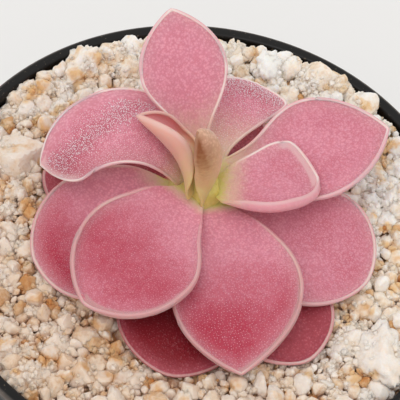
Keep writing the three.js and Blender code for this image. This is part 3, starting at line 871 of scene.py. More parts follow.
def hairTree():
    takes = [("Geometry", "NodeSocketGeometry", None)]
    lengths = ("Spacing", "Stalk Height", "Stalk Radius", "Drop Radius", "Lean")
    takes += [(n, "NodeSocketFloat", 1.0) for n in lengths]
    takes += [("Seed", "NodeSocketInt", 0), ("Field", "NodeSocketString", "hairs")]
    takes += [("Material", "NodeSocketMaterial", None)]
    tree, entry, exit = newGroup("GlandHairs", "GeometryNodeTree", takes, [("Geometry", "NodeSocketGeometry")])
    given = entry.outputs
    weight = addNode(tree, "GeometryNodeInputNamedAttribute", {"Name": given["Field"]}, data_type="FLOAT")
    spread = addNode(
        tree,
        "GeometryNodeDistributePointsOnFaces",
        {
            "Mesh": given["Geometry"], "Distance Min": given["Spacing"], "Density Max": hairField["density"],
            "Density Factor": weight.outputs[0], "Seed": given["Seed"],
        },
        distribute_method="POISSON",
    )
    stalk = addNode(
        tree,
        "GeometryNodeMeshCone",
        {
            "Vertices": hairField["sides"], "Radius Top": given["Stalk Radius"],
            "Radius Bottom": given["Stalk Radius"], "Depth": given["Stalk Height"],
        },
        fill_type="NONE",
    )
    drop = addNode(tree, "GeometryNodeMeshIcoSphere", {"Radius": given["Drop Radius"], "Subdivisions": 1})
    lifted = addNode(tree, "ShaderNodeCombineXYZ", {"Z": given["Stalk Height"]})
    moved = addNode(
        tree, "GeometryNodeTransform", {"Geometry": drop.outputs[0], "Translation": lifted.outputs[0]}
    )
    marked = addNode(
        tree, "GeometryNodeStoreNamedAttribute", {"Geometry": moved.outputs[0], "Name": "drop", "Value": 1.0},
        data_type="FLOAT", domain="POINT",
    )
    hair = addNode(tree, "GeometryNodeJoinGeometry")
    tree.links.new(stalk.outputs[0], hair.inputs[0])
    tree.links.new(marked.outputs[0], hair.inputs[0])
    # each hair leans a little its own way, and is turned and sized at random
    lean = math2(tree, "MULTIPLY", given["Lean"], -1.0)
    leanLow = addNode(tree, "ShaderNodeCombineXYZ", {"X": lean, "Y": lean})
    leanHigh = addNode(tree, "ShaderNodeCombineXYZ", {"X": given["Lean"], "Y": given["Lean"], "Z": 6.28})
    tilt = addNode(
        tree, "FunctionNodeRandomValue",
        {"Min": leanLow.outputs[0], "Max": leanHigh.outputs[0], "Seed": given["Seed"]},
        data_type="FLOAT_VECTOR",
    )
    turned = addNode(
        tree, "FunctionNodeRotateRotation",
        {"Rotation": spread.outputs["Rotation"], "Rotate By": tilt.outputs["Value"]}, rotation_space="LOCAL",
    )
    least, most = hairField["sizes"]
    size = addNode(
        tree, "FunctionNodeRandomValue", {"Min": least, "Max": most, "Seed": given["Seed"]}, data_type="FLOAT"
    )
    placed = addNode(
        tree,
        "GeometryNodeInstanceOnPoints",
        {
            "Points": spread.outputs["Points"], "Instance": hair.outputs[0],
            "Rotation": turned.outputs[0], "Scale": size.outputs[1],
        },
    )
    real = addNode(tree, "GeometryNodeRealizeInstances", {"Geometry": placed.outputs[0]})
    shaded = addNode(tree, "GeometryNodeSetShadeSmooth", {"Geometry": real.outputs[0]})
    endTree(tree, shaded, given["Material"], exit)
    return tree


glandTissue = {
    "IOR": 1.4, "Subsurface Weight": 0.4, "Subsurface Radius": (1.0, 0.7, 0.7), "Subsurface Scale": 0.0003,
}


def glandMaterial(name, stalk, drop, roughness):
    material, tree, shader = newMaterial(name, {**glandTissue, "Roughness": roughness})
    body = mixColors(tree, readValue(tree, "drop"), paint(*stalk), paint(*drop))
    tree.links.new(body, shader.inputs["Base Color"])
    return material


hairFinishes = {
    "gland": glandMaterial("GlandHair", (210, 110, 132), (236, 172, 188), 0.3),
    # the wet drops' near-white colour is partly a painted glint
    "dewy": glandMaterial("DewDrop", (226, 160, 176), (250, 236, 242), 0.12),
    "old": glandMaterial("OldGland", (150, 46, 58), (176, 74, 86), 0.35),
}
hairs = hairTree()
hairCount = 0
for index, (node, piece) in enumerate(leafMeshes.items()):
    leaf = {**leafDefaults, **leaves[node]}
    fields = [("Hairs", "hairs", *leaf["hairs"], hairFinishes[leaf["hairFinish"]])] if leaf["hairs"] else []
    if leaf["dew"]:
        fields.append(("Dew", "dew", hairField["dewSpacing"], hairField["dewDrop"], hairFinishes["dewy"]))
    for title, field, spacing, drop, finish in fields:
        result = runTree(
            piece, hairs,
            {
                "Spacing": spacing * mm, "Stalk Height": hairField["stalk"] * drop * mm,
                "Stalk Radius": hairField["stalkRadius"] * mm, "Drop Radius": drop * mm,
                "Lean": hairField["lean"], "Seed": hairField["seed"] + index, "Field": field,
                "Material": finish,
            },
        )
        glands = addObject(pieceName(node) + title, result)
        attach(glands, "root")
        hairCount += len(result.polygons)
print("hair faces:", hairCount)

# Grit

grit = {
    "radius": 42.5,
    "level": 66.6,  # of the bed at the wall, before stones
    "rise": 0.4,
    "undulation": 0.6,
    "rollScale": 0.12,
    "heap": 2.2,  # how much higher it lies against the back of the pot
    "heapBack": (12, 24),  # from where towards the back it rises, and over how far
    "heapWall": (24, 15),  # and the same towards the wall
    "sink": 0.6,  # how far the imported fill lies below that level
    "fillOutline": ((29.2, 4.0), (40.9, 56.7), (42.5, 58.3)),  # radius and height, up the pot's wall
    "fillSides": 96,
    "fillRings": 22,
    "fillRough": 0.25,
    "seed": 21,
    "leafRoom": 0.12,  # the least gap between a stone and a leaf
    "stoneReach": 1.12,  # how far a stone reaches beyond its radius
    "laidSize": 1.02,
    "laidTop": 0.35,  # what is seen of a laid stone is this far above its centre, in radii
    "companions": 15,  # smaller stones on a laid one, for each millimetre of its radius
    "companionSize": (0.25, 0.8),
    "companionReach": 1.15,
    "gapShadeLow": 65.6,  # painted shade between the stones below this height
    "gapShadeHigh": 68.3,
}

# Stones laid one by one: where the camera sees them, across and down, their radius there, and what they are.
laidStones = [
    (108, 44, 15, "cream"), (131, 42, 13, "chalk"), (82, 61, 19, "cream"), (109, 57, 10, "chalk"),
    (126, 67, 14, "cream"), (103, 71, 11, "tan"), (47, 74, 11, "cream"), (46, 89, 12, "cream"),
    (32, 73, 6, "cream"), (14, 82, 5, "tan"), (63, 90, 12, "chalk"), (91, 84, 9, "cream"),
    (86, 99, 11, "cream"), (129, 83, 10, "cream"), (25, 91, 13, "cream"), (7, 92, 11, "cream"),
    (28, 112, 12, "chalk"), (50, 123, 11, "quartz"), (3, 112, 9, "quartz"), (17, 119, 9, "cream"),
    (62, 109, 13, "chalk"), (72, 103, 9, "cream"), (17, 155, 26, "chalk"), (38, 132, 8, "tan"),
    (7, 128, 8, "ochre"), (22, 133, 7, "tan"), (38, 118, 8, "cream"), (12, 190, 13, "chalk"),
    (28, 188, 9, "tan"), (8, 211, 11, "chalk"), (26, 207, 9, "tan"), (20, 232, 8, "quartz"),
    (24, 250, 11, "quartz"), (4, 247, 11, "chalk"), (9, 260, 8, "cream"), (5, 283, 15, "chalk"),
    (27, 285, 11, "ochre"), (47, 291, 10, "quartz"), (27, 270, 8, "tan"), (38, 186, 6, "tan"),
    (30, 312, 8, "quartz"), (8, 309, 8, "cream"), (66, 322, 11, "quartz"), (10, 329, 10, "quartz"),
    (26, 333, 8, "quartz"), (46, 332, 9, "chalk"), (52, 306, 9, "ochre"), (71, 308, 8, "tan"),
    (62, 345, 13, "chalk"), (27, 352, 8, "cream"), (41, 351, 7, "quartz"), (14, 352, 6, "chalk"),
    (23, 377, 17, "chalk"), (82, 373, 16, "quartz"), (54, 386, 11, "cream"), (49, 367, 8, "quartz"),
    (117, 366, 11, "quartz"), (138, 375, 13, "quartz"), (147, 384, 6, "ochre"), (104, 322, 12, "tan"),
    (95, 346, 9, "tan"), (106, 352, 7, "cream"), (111, 386, 7, "chalk"), (126, 393, 9, "cream"),
    (8, 391, 7, "ochre"), (75, 396, 9, "cream"), (97, 390, 8, "chalk"), (30, 396, 8, "quartz"),
    (210, 385, 9, "cream"), (205, 393, 5, "chalk"), (220, 393, 6, "quartz"), (250, 390, 6, "quartz"),
    (262, 374, 12, "tan"), (268, 386, 5, "ochre"), (286, 385, 9, "cream"), (306, 378, 9, "cream"),
    (330, 386, 8, "chalk"), (309, 363, 7, "quartz"), (318, 353, 7, "quartz"), (329, 368, 9, "chalk"),
    (349, 342, 16, "chalk"), (349, 328, 10, "quartz"), (363, 328, 7, "cream"), (346, 371, 9, "cream"),
    (351, 384, 8, "chalk"), (381, 354, 27, "chalk"), (361, 301, 15, "cream"), (383, 300, 10, "tan"),
    (345, 317, 6, "quartz"), (336, 397, 8, "cream"), (364, 396, 8, "chalk"), (388, 318, 8, "cream"),
    (234, 51, 13, "cream"), (249, 56, 9, "cream"), (270, 66, 18, "chalk"), (287, 58, 10, "chalk"),
    (297, 56, 9, "quartz"), (320, 76, 21, "cream"), (307, 85, 13, "cream"), (337, 84, 14, "tan"),
    (363, 104, 17, "cream"), (385, 128, 7, "cream"), (395, 128, 5, "ochre"), (240, 72, 9, "tan"),
    (262, 85, 8, "cream"), (286, 91, 9, "cream"), (228, 66, 8, "cream"), (395, 150, 12, "chalk"),
    (386, 165, 8, "tan"), (377, 184, 13, "chalk"), (371, 205, 13, "chalk"), (394, 199, 13, "chalk"),
    (385, 229, 6, "ochre"), (371, 230, 8, "chalk"), (381, 246, 9, "cream"), (396, 236, 9, "cream"),
    (375, 266, 9, "ochre"), (371, 280, 8, "cream"), (393, 270, 9, "tan"), (394, 289, 8, "cream"),
]

# Tone runs from white to ochre, clear from dull to glassy; a family named twice is picked twice as often.
stoneKinds = {
    "chalk": {"tone": 0.0, "clear": 0.0, "families": ("rough", "rough", "chip")},
    "cream": {"tone": 0.24, "clear": 0.0, "families": ("rough", "chip")},
    "tan": {"tone": 0.44, "clear": 0.2, "families": ("rough", "chip")},
    "ochre": {"tone": 0.72, "clear": 0.2, "families": ("rough", "chip")},
    "quartz": {"tone": 0.14, "clear": 1.0, "families": ("chip", "rough", "chip")},
}

# Stones scattered between them, from the largest down: their radius, how often one is tried, how close it may
# come to its neighbours, and its centre's height over the bed.
scatter = [
    {"radius": (1.7, 2.6), "tries": 2500, "overlap": 0.62, "height": (-0.4, 0.7)},
    {"radius": (1.1, 1.7), "tries": 9000, "overlap": 0.60, "height": (-0.4, 0.9)},
    {"radius": (0.7, 1.1), "tries": 20000, "overlap": 0.58, "height": (-0.2, 1.1)},
    {"radius": (0.35, 0.65), "tries": 24000, "overlap": 0.62, "height": (-0.4, 0.9)},
]

# For each size of stone: the least radius, how many shapes of each family, how finely they are made, and how
# far they may be tipped.
stoneSets = [
    {"name": "Boulder", "least": 2.2, "shapes": 5, "level": 4, "tilt": 0.35},
    {"name": "Pebble", "least": 1.25, "shapes": 5, "level": 3, "tilt": 3.1},
    {"name": "Granule", "least": 0.66, "shapes": 5, "corners": 20, "tilt": 3.1},
    {"name": "Crumb", "least": 0.0, "shapes": 3, "corners": 12, "tilt": 3.1},
]

# A stone is a ball cut to a number of flat sides, which meet more sharply with a higher power. It is swollen,
# and then pitted and grained, by pairs of a fineness and a depth.
stoneFamilies = {
    "rough": {
        "sides": 11, "power": 6, "swell": 1.2, "pits": ((1.7, 0.42), (4.2, 0.24)), "grain": ((7, 0.09),),
    },
    "chip": {"sides": 16, "power": 26, "swell": 1, "pits": (), "grain": ((3, 0.05), (9, 0.025))},
}


def bedHeight(x, y):
    share = (x * x + y * y) / grit["radius"] ** 2
    rolling = noise.noise(Vector((x * grit["rollScale"], y * grit["rollScale"], 3.1)))
    (backFrom, backOver), (wallFrom, wallOver) = grit["heapBack"], grit["heapWall"]
    heap = grit["heap"] * smooth((y - backFrom) / backOver) * smooth((math.hypot(x, y) - wallFrom) / wallOver)
    return grit["level"] + grit["rise"] * (1 - share) + grit["undulation"] * rolling + heap


def cutStone(shape, rng, family, level):
    bmesh.ops.create_icosphere(shape, subdivisions=level, radius=1)
    planes = []
    for _ in range(family["sides"]):
        normal = Vector((rng.gauss(0, 1), rng.gauss(0, 1), rng.gauss(0, 1))).normalized()
        planes.append((normal, rng.uniform(0.72, 1.0)))
    power = family["power"]
    offset = Vector((rng.uniform(0, 50), rng.uniform(0, 50), rng.uniform(0, 50)))
    for vertex in shape.verts:
        d = vertex.co.normalized()
        reach = sum(max(d.dot(n), 0) ** power / h ** power for n, h in planes) + 0.8 ** power
        radius = reach ** (-1 / power)
        swell = family["swell"]
        for fineness, depth in family["pits"]:
            swell -= depth * noise.voronoi(d * fineness + offset)[0][0]
        for fineness, depth in family["grain"]:
            swell += depth * noise.noise(d * fineness + offset)
        vertex.co = d * (radius * swell)


# a small stone: the hull of a few corners spread over a ball along a spiral
def hullStone(shape, rng, corners):
    goldenTurn = 2.39996
    for k in range(corners):
        turn = k * goldenTurn + rng.uniform(-0.45, 0.45)
        z = 1 - 2 * (k + 0.5) / corners + rng.uniform(-0.12, 0.12)
        ring = math.sqrt(max(1 - z * z, 0.02))
        push = rng.uniform(0.82, 1.05)
        shape.verts.new(Vector((math.cos(turn) * ring, math.sin(turn) * ring, z)) * push)
    hull = bmesh.ops.convex_hull(shape, input=shape.verts)
    inner = [g for g in hull["geom_interior"] if isinstance(g, bmesh.types.BMVert)]
    bmesh.ops.delete(shape, geom=inner, context="VERTS")


# one stone of radius 1 on average, stretched a little
def makeStone(name, family, seed, stoneSet):
    rng = random.Random(seed)
    shape = bmesh.new()
    stretch = Vector((rng.uniform(1.0, 1.25), rng.uniform(0.82, 1.0), rng.uniform(0.65, 0.85)))
    if "level" in stoneSet:
        cutStone(shape, rng, stoneFamilies[family], stoneSet["level"])
    else:
        hullStone(shape, rng, stoneSet["corners"])
    average = sum(v.co.length for v in shape.verts) / len(shape.verts)
    for vertex in shape.verts:
        vertex.co = vertex.co * stretch / average
    bmesh.ops.recalc_face_normals(shape, faces=shape.faces)
    mesh = bpy.data.meshes.new(name)
    shape.to_mesh(mesh)
    shape.free()
    if "level" in stoneSet:
        smoothShade(mesh)
        if family == "chip":
            mesh.set_sharp_from_angle(angle=math.radians(24))
    return mesh


# every stone's place, radius and kind; none stands in a leaf or outside the wall
def layStones(leafSolid):
    rng = random.Random(grit["seed"])
    crownX, crownY, _ = leafBuild["crown"]
    placed = []
    squares = {}  # the stones in each square of the bed, to find a place's neighbours
    size = 5.0

    def crowded(x, y, radius, overlap):
        cx, cy = int(x // size), int(y // size)
        for i in range(cx - 2, cx + 3):
            for j in range(cy - 2, cy + 3):
                for ox, oy, near in squares.get((i, j), ()):
                    if (ox - x) ** 2 + (oy - y) ** 2 < (overlap * (near + radius)) ** 2:
                        return True
        return False

    def clearOfLeaves(spot, radius):
        reach = grit["companionReach"] * radius + grit["leafRoom"]
        return leafSolid.find_nearest(Vector(spot) * mm, reach * mm)[0] is None

    # lowers a stone until it clears the leaves, and leaves it out if that is too deep
    def settle(x, y, z, radius, kind, lowest):
        reach = grit["stoneReach"] * radius + grit["leafRoom"]
        for _ in range(4):
            near = leafSolid.find_nearest(Vector((x, y, z)) * mm, reach * mm)
            if near[0] is None:
                break
            z -= reach - near[3] / mm + 0.05
        if z < lowest:
            return
        placed.append((x, y, z, radius, kind))
        squares.setdefault((int(x // size), int(y // size)), []).append((x, y, radius))

    for across, down, radius, kind in laidStones:
        radius = radius / cameraSetup["pixelsPerMm"] * grit["laidSize"]
        spot = seenAt(across, down, grit["level"] + grit["laidTop"] * radius)
        for _ in range(3):
            spot = seenAt(across, down, bedHeight(spot.x, spot.y) + grit["laidTop"] * radius)
        reach = math.hypot(spot.x, spot.y)
        most = grit["radius"] - 0.75 * radius
        x, y = (spot.x, spot.y) if reach < most else (spot.x * most / reach, spot.y * most / reach)
        edge = max(reach - 34, 0) / 8  # stones by the wall stand a little higher
        z = bedHeight(x, y) + min(0.12 * radius, 0.4) + 0.5 * min(edge, 1)
        settle(x, y, z, radius, kind, bedHeight(x, y) - 0.9 * radius)

    for x, y, z, radius, kind in list(placed):
        for _ in range(int(grit["companions"] * radius)):
            turn, high = rng.random() * 2 * math.pi, rng.uniform(0.0, 1)
            ring = math.sqrt(1 - high * high) * radius * 0.9
            small = rng.uniform(*grit["companionSize"])
            spot = (x + ring * math.cos(turn), y + ring * math.sin(turn), z + 0.62 * radius * high)
            if math.hypot(spot[0], spot[1]) < grit["radius"] - small and clearOfLeaves(spot, small):
                placed.append((*spot, small, kind))

    for group in scatter:
        for _ in range(group["tries"]):
            radius = rng.uniform(*group["radius"])
            distance = math.sqrt(rng.random()) * (grit["radius"] - 0.85 * radius)
            turn = rng.random() * 2 * math.pi
            height = rng.uniform(*group["height"])
            draw = rng.random()
            x, y = distance * math.cos(turn), distance * math.sin(turn)
            if crowded(x, y, radius, group["overlap"]):
                continue
            if math.hypot(x - crownX, y - crownY) < leafBuild["crownRadius"] + radius:
                continue
            kind = "chalk" if draw < 0.34 else "cream" if draw < 0.58 else "quartz" if draw < 0.86 else "tan"
            kind = "ochre" if draw > 0.96 else kind
            settle(x, y, bedHeight(x, y) + height, radius, kind, bedHeight(x, y) - grit["sink"] - 0.4 * radius)
    return placed


# puts one of the collection's shapes at each point, by the point's own shape number, turn and stretch
def stoneTree(collection, material):
    takes = [("Geometry", "NodeSocketGeometry", None), ("Size", "NodeSocketFloat", 1.0)]
    tree, entry, exit = newGroup("LaidStones", "GeometryNodeTree", takes, [("Geometry", "NodeSocketGeometry")])

    def stored(name, kind):
        return addNode(tree, "GeometryNodeInputNamedAttribute", {"Name": name}, data_type=kind).outputs[0]

    points = addNode(tree, "GeometryNodeMeshToPoints", {"Mesh": entry.outputs["Geometry"], "Radius": 0.0001})
    shapes = addNode(
        tree, "GeometryNodeCollectionInfo",
        {"Collection": collection, "Separate Children": True, "Reset Children": True},
    )
    scale = addNode(
        tree, "ShaderNodeVectorMath", {0: stored("stretch", "FLOAT_VECTOR"), "Scale": entry.outputs["Size"]},
        operation="SCALE",
    )
    turn = addNode(tree, "FunctionNodeEulerToRotation", {"Euler": stored("turn", "FLOAT_VECTOR")})
    placed = addNode(
        tree,
        "GeometryNodeInstanceOnPoints",
        {
            "Points": points.outputs[0], "Instance": shapes.outputs[0], "Pick Instance": True,
            "Instance Index": stored("shape", "INT"), "Rotation": turn.outputs[0], "Scale": scale.outputs[0],
        },
    )
    real = addNode(tree, "GeometryNodeRealizeInstances", {"Geometry": placed.outputs[0]})
    endTree(tree, real, material, exit)
    return tree


stoneFinish = {
    "mineral": {
        "Subsurface Weight": 0.6, "Subsurface Radius": (0.6, 0.66, 0.8), "Subsurface Scale": 0.0014,
        "IOR": 1.45,
    },
    "tones": ((0.0, (249, 245, 240)), (0.3, (246, 234, 219)), (0.62, (228, 199, 163)), (1.0, (206, 150, 86))),
    "blotches": 330,
    "stain": (182, 116, 64),  # painted warm shade low down between the stones
    "dust": (220, 194, 170),  # a colour multiplied in, darker towards the front and the left
    "darkeningSlope": (9.0, 12.0),  # how fast it grows to the left and to the front
    "darkeningMost": 0.62,
    "patches": (236, 192, 118),
    "patchScale": 260.0,
    "patchMost": 0.75,
    "pores": 1900,
    "grain": 2600.0,
    "bump": (0.55, 0.00018),
    "roughness": (0.85, 0.32),  # of a dull stone and a glassy one
}

fillFinish = {
    "earth": {"Roughness": 0.95},
    "colours": ((176, 124, 80), (214, 174, 128)),
    "blotches": 500,
    "grain": 1500.0,
    "bump": (0.8, 0.0004),
}


def stoneMaterial():
    material, tree, shader = newMaterial("GritStone", stoneFinish["mineral"])
    place = readPlace(tree)
    clear = readValue(tree, "clear")
    blotch = mottleAt(tree, place, stoneFinish["blotches"])
    shifted = math2(tree, "ADD", readValue(tree, "tone"), between(tree, blotch, -0.14, 0.2))
    ramp = addNode(tree, "ShaderNodeValToRGB", {"Fac": shifted})
    first, *inner, last = stoneFinish["tones"]
    ramp.color_ramp.elements[0].color = paint(*first[1])
    ramp.color_ramp.elements[1].color = paint(*last[1])
    for position, colour in inner:
        ramp.color_ramp.elements.new(position).color = paint(*colour)
    # painted warm shade low down in the gaps between the stones
    low = mapRange(tree, readHeight(tree, place), grit["gapShadeHigh"] * mm, grit["gapShadeLow"] * mm)
    stain = math2(tree, "MULTIPLY", low, between(tree, blotch, 0.45, 0.95))
    body = mixColors(tree, stain, ramp.outputs[0], paint(*stoneFinish["stain"]), "MULTIPLY")
    # darker towards the front and the left
    ground = addNode(tree, "ShaderNodeSeparateXYZ", {0: place}).outputs
    slopes = [math2(tree, "MULTIPLY", ground[k], slope) for k, slope in zip("XY", stoneFinish["darkeningSlope"])]
    dust = mapRange(tree, math2(tree, "ADD", *slopes), 0.5, -0.55, 0.0, stoneFinish["darkeningMost"])
    body = mixColors(tree, dust, body, paint(*stoneFinish["dust"]), "MULTIPLY")
    patches = noiseAt(tree, place, stoneFinish["patchScale"], 3.0)
    patches = mapRange(tree, patches, 0.52, 0.68, 0.0, stoneFinish["patchMost"])
    body = mixColors(tree, patches, body, paint(*stoneFinish["patches"]), "MULTIPLY")
    tree.links.new(body, shader.inputs["Base Color"])
    tree.links.new(between(tree, clear, *stoneFinish["roughness"]), shader.inputs["Roughness"])
    pores = math2(tree, "MULTIPLY", cellsAt(tree, place, stoneFinish["pores"]).outputs["Bump"], 0.5)
    relief = math2(tree, "ADD", pores, noiseAt(tree, place, stoneFinish["grain"], 4.0))
    relief = math2(tree, "MULTIPLY", relief, between(tree, clear, 1.0, 0.35))
    setBump(tree, shader, relief, *stoneFinish["bump"])
    return material


def fillMaterial():
    material, tree, shader = newMaterial("GritFill", fillFinish["earth"])
    place = readPlace(tree)
    dark, light = [paint(*colour) for colour in fillFinish["colours"]]
    body = mixColors(tree, mottleAt(tree, place, fillFinish["blotches"]), dark, light)
    tree.links.new(body, shader.inputs["Base Color"])
    setBump(tree, shader, noiseAt(tree, place, fillFinish["grain"], 4.0), *fillFinish["bump"])
    return material


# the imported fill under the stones, down to the pot's floor
def makeFill():
    sides, rings = grit["fillSides"], grit["fillRings"]
    points = [(0, 0, grit["fillOutline"][0][1])]
    profile = [(r, z, False) for r, z in grit["fillOutline"]]
    profile += [(grit["radius"] * (1 - k / rings), None, True) for k in range(rings)]
    for radius, height, onTop in profile:
        for i in range(sides):
            turn = 2 * math.pi * i / sides
            x, y = radius * math.cos(turn), radius * math.sin(turn)
            rough = grit["fillRough"] * noise.noise(Vector((x * 0.9, y * 0.9, 0))) if onTop else 0
            points.append((x, y, bedHeight(x, y) - grit["sink"] + rough if onTop else height))
    points.append((0, 0, bedHeight(0, 0) - grit["sink"]))
    mesh = bpy.data.meshes.new("GritFill")
    faces = ringFaces(1, len(profile), sides, 0, len(points) - 1)
    mesh.from_pydata([(x * mm, y * mm, z * mm) for x, y, z in points], [], faces)
    smoothShade(mesh)
    return mesh


# all the leaves in one, for the stones to keep clear of
def leafSolidTree():
    points, faces = [], []
    for piece in leafMeshes.values():
        start = len(points)
        points += [v.co.copy() for v in piece.data.vertices]
        faces += [[start + v for v in p.vertices] for p in piece.data.polygons]
    return BVHTree.FromPolygons(points, faces)


fill = addObject("GritFill", makeFill(), fillMaterial())
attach(fill, "root")
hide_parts("grit_bed")
stones = layStones(leafSolidTree())
print("stones laid:", len(stones))
gritStone = stoneMaterial()
families = tuple(stoneFamilies)
turning = random.Random(grit["seed"] + 1)
most = 1e9
for number, stoneSet in enumerate(stoneSets):
    title, shapeCount, tilt = stoneSet["name"], stoneSet["shapes"], stoneSet["tilt"]
    shapes = bpy.data.collections.new(title + "Shapes")
    for f, family in enumerate(families):
        for k in range(shapeCount):
            mesh = makeStone(f"{title}{f}{k}", family, 100 * number + 10 * f + k, stoneSet)
            shapes.objects.link(bpy.data.objects.new(mesh.name, mesh))
    chosen = [s for s in stones if stoneSet["least"] <= s[3] < most]
    most = stoneSet["least"]
    points = bpy.data.meshes.new(title + "Points")
    points.from_pydata([(x * mm, y * mm, z * mm) for x, y, z, _, _ in chosen], [], [])
    kinds = [stoneKinds[s[4]] for s in chosen]
    storeValues(points, "tone", [k["tone"] + turning.uniform(-0.1, 0.1) for k in kinds])
    storeValues(points, "clear", [k["clear"] for k in kinds])
    picked = []
    for kind in kinds:
        family = families.index(turning.choice(kind["families"]))
        picked.append(family * shapeCount + turning.randrange(shapeCount))
    storeValues(points, "shape", picked, "INT")
    stretches = [(s[3], s[3] * turning.uniform(0.85, 1), s[3]) for s in chosen]
    storeValues(points, "stretch", stretches, "FLOAT_VECTOR")
    turns = [
        (turning.uniform(-tilt, tilt), turning.uniform(-tilt, tilt), turning.uniform(0, 6.28)) for _ in chosen
    ]
    storeValues(points, "turn", turns, "FLOAT_VECTOR")
    holder = addObject(title + "Holder", points)
    result = runTree(holder, stoneTree(shapes, gritStone), {"Size": mm})
    bpy.data.objects.remove(holder)
    for shape in list(shapes.objects):
        bpy.data.objects.remove(shape)
    bpy.data.collections.remove(shapes)
    piece = addObject("Grit" + title + "s", result)
    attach(piece, "root")
    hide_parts("grit_bed")
    print(title, len(chosen), "faces:", len(result.polygons))

# Pot

pot = {
    "height": 70, "rim": 45, "foot": 31, "wall": 1.2, "lipHeight": 1.8, "lipWidth": 2, "collar": 12,
    "collarStep": 1.6, "footRecess": 2.5, "footRing": 4, "sides": 160,
    "holes": 6, "holeRadius": 2.8, "holeCircle": 18, "holeSides": 32,
    "drill": 20,  # the length of what cuts a hole, half of it over the table
}

potFinish = {
    "plastic": {"IOR": 1.5, "Specular IOR Level": 0.3},
    "black": ((6, 4, 3), (12, 9, 7)),
    "worn": (128, 116, 108),
    "wearAndHighlightFrom": (44.3, 68.5),  # radius and height past which the lip's outer edge is paler: wear and a painted highlight
    "wearAndHighlightTo": (45.0, 69.5),
    "dust": (170, 150, 125),
    "dustHeights": (62.0, 69.0),
    "blotches": 90,
    "specks": 1700.0,
    "grain": 1200.0,
    "bump": (0.25, 0.0001),
    "roughness": (0.34, 0.52),
}


# rounds the corners of an open outline of (radius, height, rounding) with short arcs
def roundCorners(outline, steps=5):
    made = []
    for k, (x, y, rounding) in enumerate(outline):
        if rounding == 0 or k in (0, len(outline) - 1):
            made.append((x, y))
            continue
        here = Vector((x, y))
        before = (Vector(outline[k - 1][:2]) - here).normalized() * rounding
        after = (Vector(outline[k + 1][:2]) - here).normalized() * rounding
        for step in range(steps + 1):
            u = step / steps
            made.append(tuple(here + before * (1 - u) ** 2 + after * u ** 2))
    return made


def potProfile():
    collar = pot["rim"] - pot["lipWidth"] / 2
    mouth = collar - pot["wall"]
    shoulder = collar - pot["collarStep"]
    collarBottom = pot["height"] - pot["collar"]
    floorTop = pot["footRecess"] + pot["wall"]
    lip = pot["height"] - pot["lipHeight"]
    return roundCorners(
        [
            (0, pot["footRecess"], 0),
            (pot["foot"] - pot["footRing"] - 1, pot["footRecess"], 0.4),
            (pot["foot"] - pot["footRing"], 0, 0.4),
            (pot["foot"], 0, 0.7),
            (shoulder, collarBottom - pot["collarStep"], 0.5),
            (collar, collarBottom, 0.5),
            (collar, lip, 0.3),
            (pot["rim"], lip, 0.5),
            (pot["rim"], pot["height"], 0.7),
            (mouth, pot["height"], 0.7),
            (mouth, collarBottom, 0.5),
            (shoulder - pot["wall"], collarBottom - pot["collarStep"], 0.5),
            (pot["foot"] - pot["wall"], floorTop, 0.8),
            (0, floorTop, 0),
        ]
    )


# turns the outline round Z and cuts a ring of holes through the floor
def turnedTree():
    takes = [
        ("Geometry", "NodeSocketGeometry", None), ("Sides", "NodeSocketInt", 64),
        ("Points", "NodeSocketInt", 2), ("Holes", "NodeSocketInt", 6),
        ("Hole Radius", "NodeSocketFloat", 0.003), ("Hole Circle", "NodeSocketFloat", 0.018),
        ("Material", "NodeSocketMaterial", None),
    ]
    tree, entry, exit = newGroup("TurnedPot", "GeometryNodeTree", takes, [("Geometry", "NodeSocketGeometry")])
    given = entry.outputs
    columns = math2(tree, "ADD", given["Sides"], 1.0)
    grid = addNode(tree, "GeometryNodeMeshGrid", {"Vertices X": columns, "Vertices Y": given["Points"]})
    number = addNode(tree, "GeometryNodeInputIndex").outputs[0]
    row = math2(tree, "MODULO", number, given["Points"])
    column = math2(tree, "FLOOR", math2(tree, "DIVIDE", math2(tree, "ADD", number, 0.5), given["Points"]))
    position = addNode(tree, "GeometryNodeInputPosition").outputs[0]
    outline = addNode(
        tree, "GeometryNodeSampleIndex", {"Geometry": given["Geometry"], "Value": position, "Index": row},
        data_type="FLOAT_VECTOR", domain="POINT",
    )
    turn = math2(tree, "MULTIPLY", math2(tree, "DIVIDE", column, given["Sides"]), 2 * math.pi)
    spun = addNode(
        tree, "ShaderNodeVectorRotate", {"Vector": outline.outputs[0], "Axis": (0.0, 0.0, 1.0), "Angle": turn},
        rotation_type="AXIS_ANGLE",
    )
    moved = addNode(tree, "GeometryNodeSetPosition", {"Geometry": grid.outputs[0], "Position": spun.outputs[0]})
    closed = addNode(tree, "GeometryNodeMergeByDistance", {"Geometry": moved.outputs[0], "Distance": 1e-6})
    ring = addNode(tree, "GeometryNodeMeshCircle", {"Vertices": given["Holes"], "Radius": given["Hole Circle"]})
    drill = addNode(
        tree, "GeometryNodeMeshCylinder",
        {"Vertices": pot["holeSides"], "Radius": given["Hole Radius"], "Depth": pot["drill"] * mm},
    )
    drills = addNode(
        tree, "GeometryNodeInstanceOnPoints", {"Points": ring.outputs[0], "Instance": drill.outputs[0]}
    )
    solid = addNode(tree, "GeometryNodeRealizeInstances", {"Geometry": drills.outputs[0]})
    cut = addNode(tree, "GeometryNodeMeshBoolean", {"Mesh 1": closed.outputs[0]}, operation="DIFFERENCE")
    tree.links.new(solid.outputs[0], cut.inputs["Mesh 2"])
    real = addNode(tree, "GeometryNodeRealizeInstances", {"Geometry": cut.outputs[0]})
    endTree(tree, real, given["Material"], exit)
    return tree


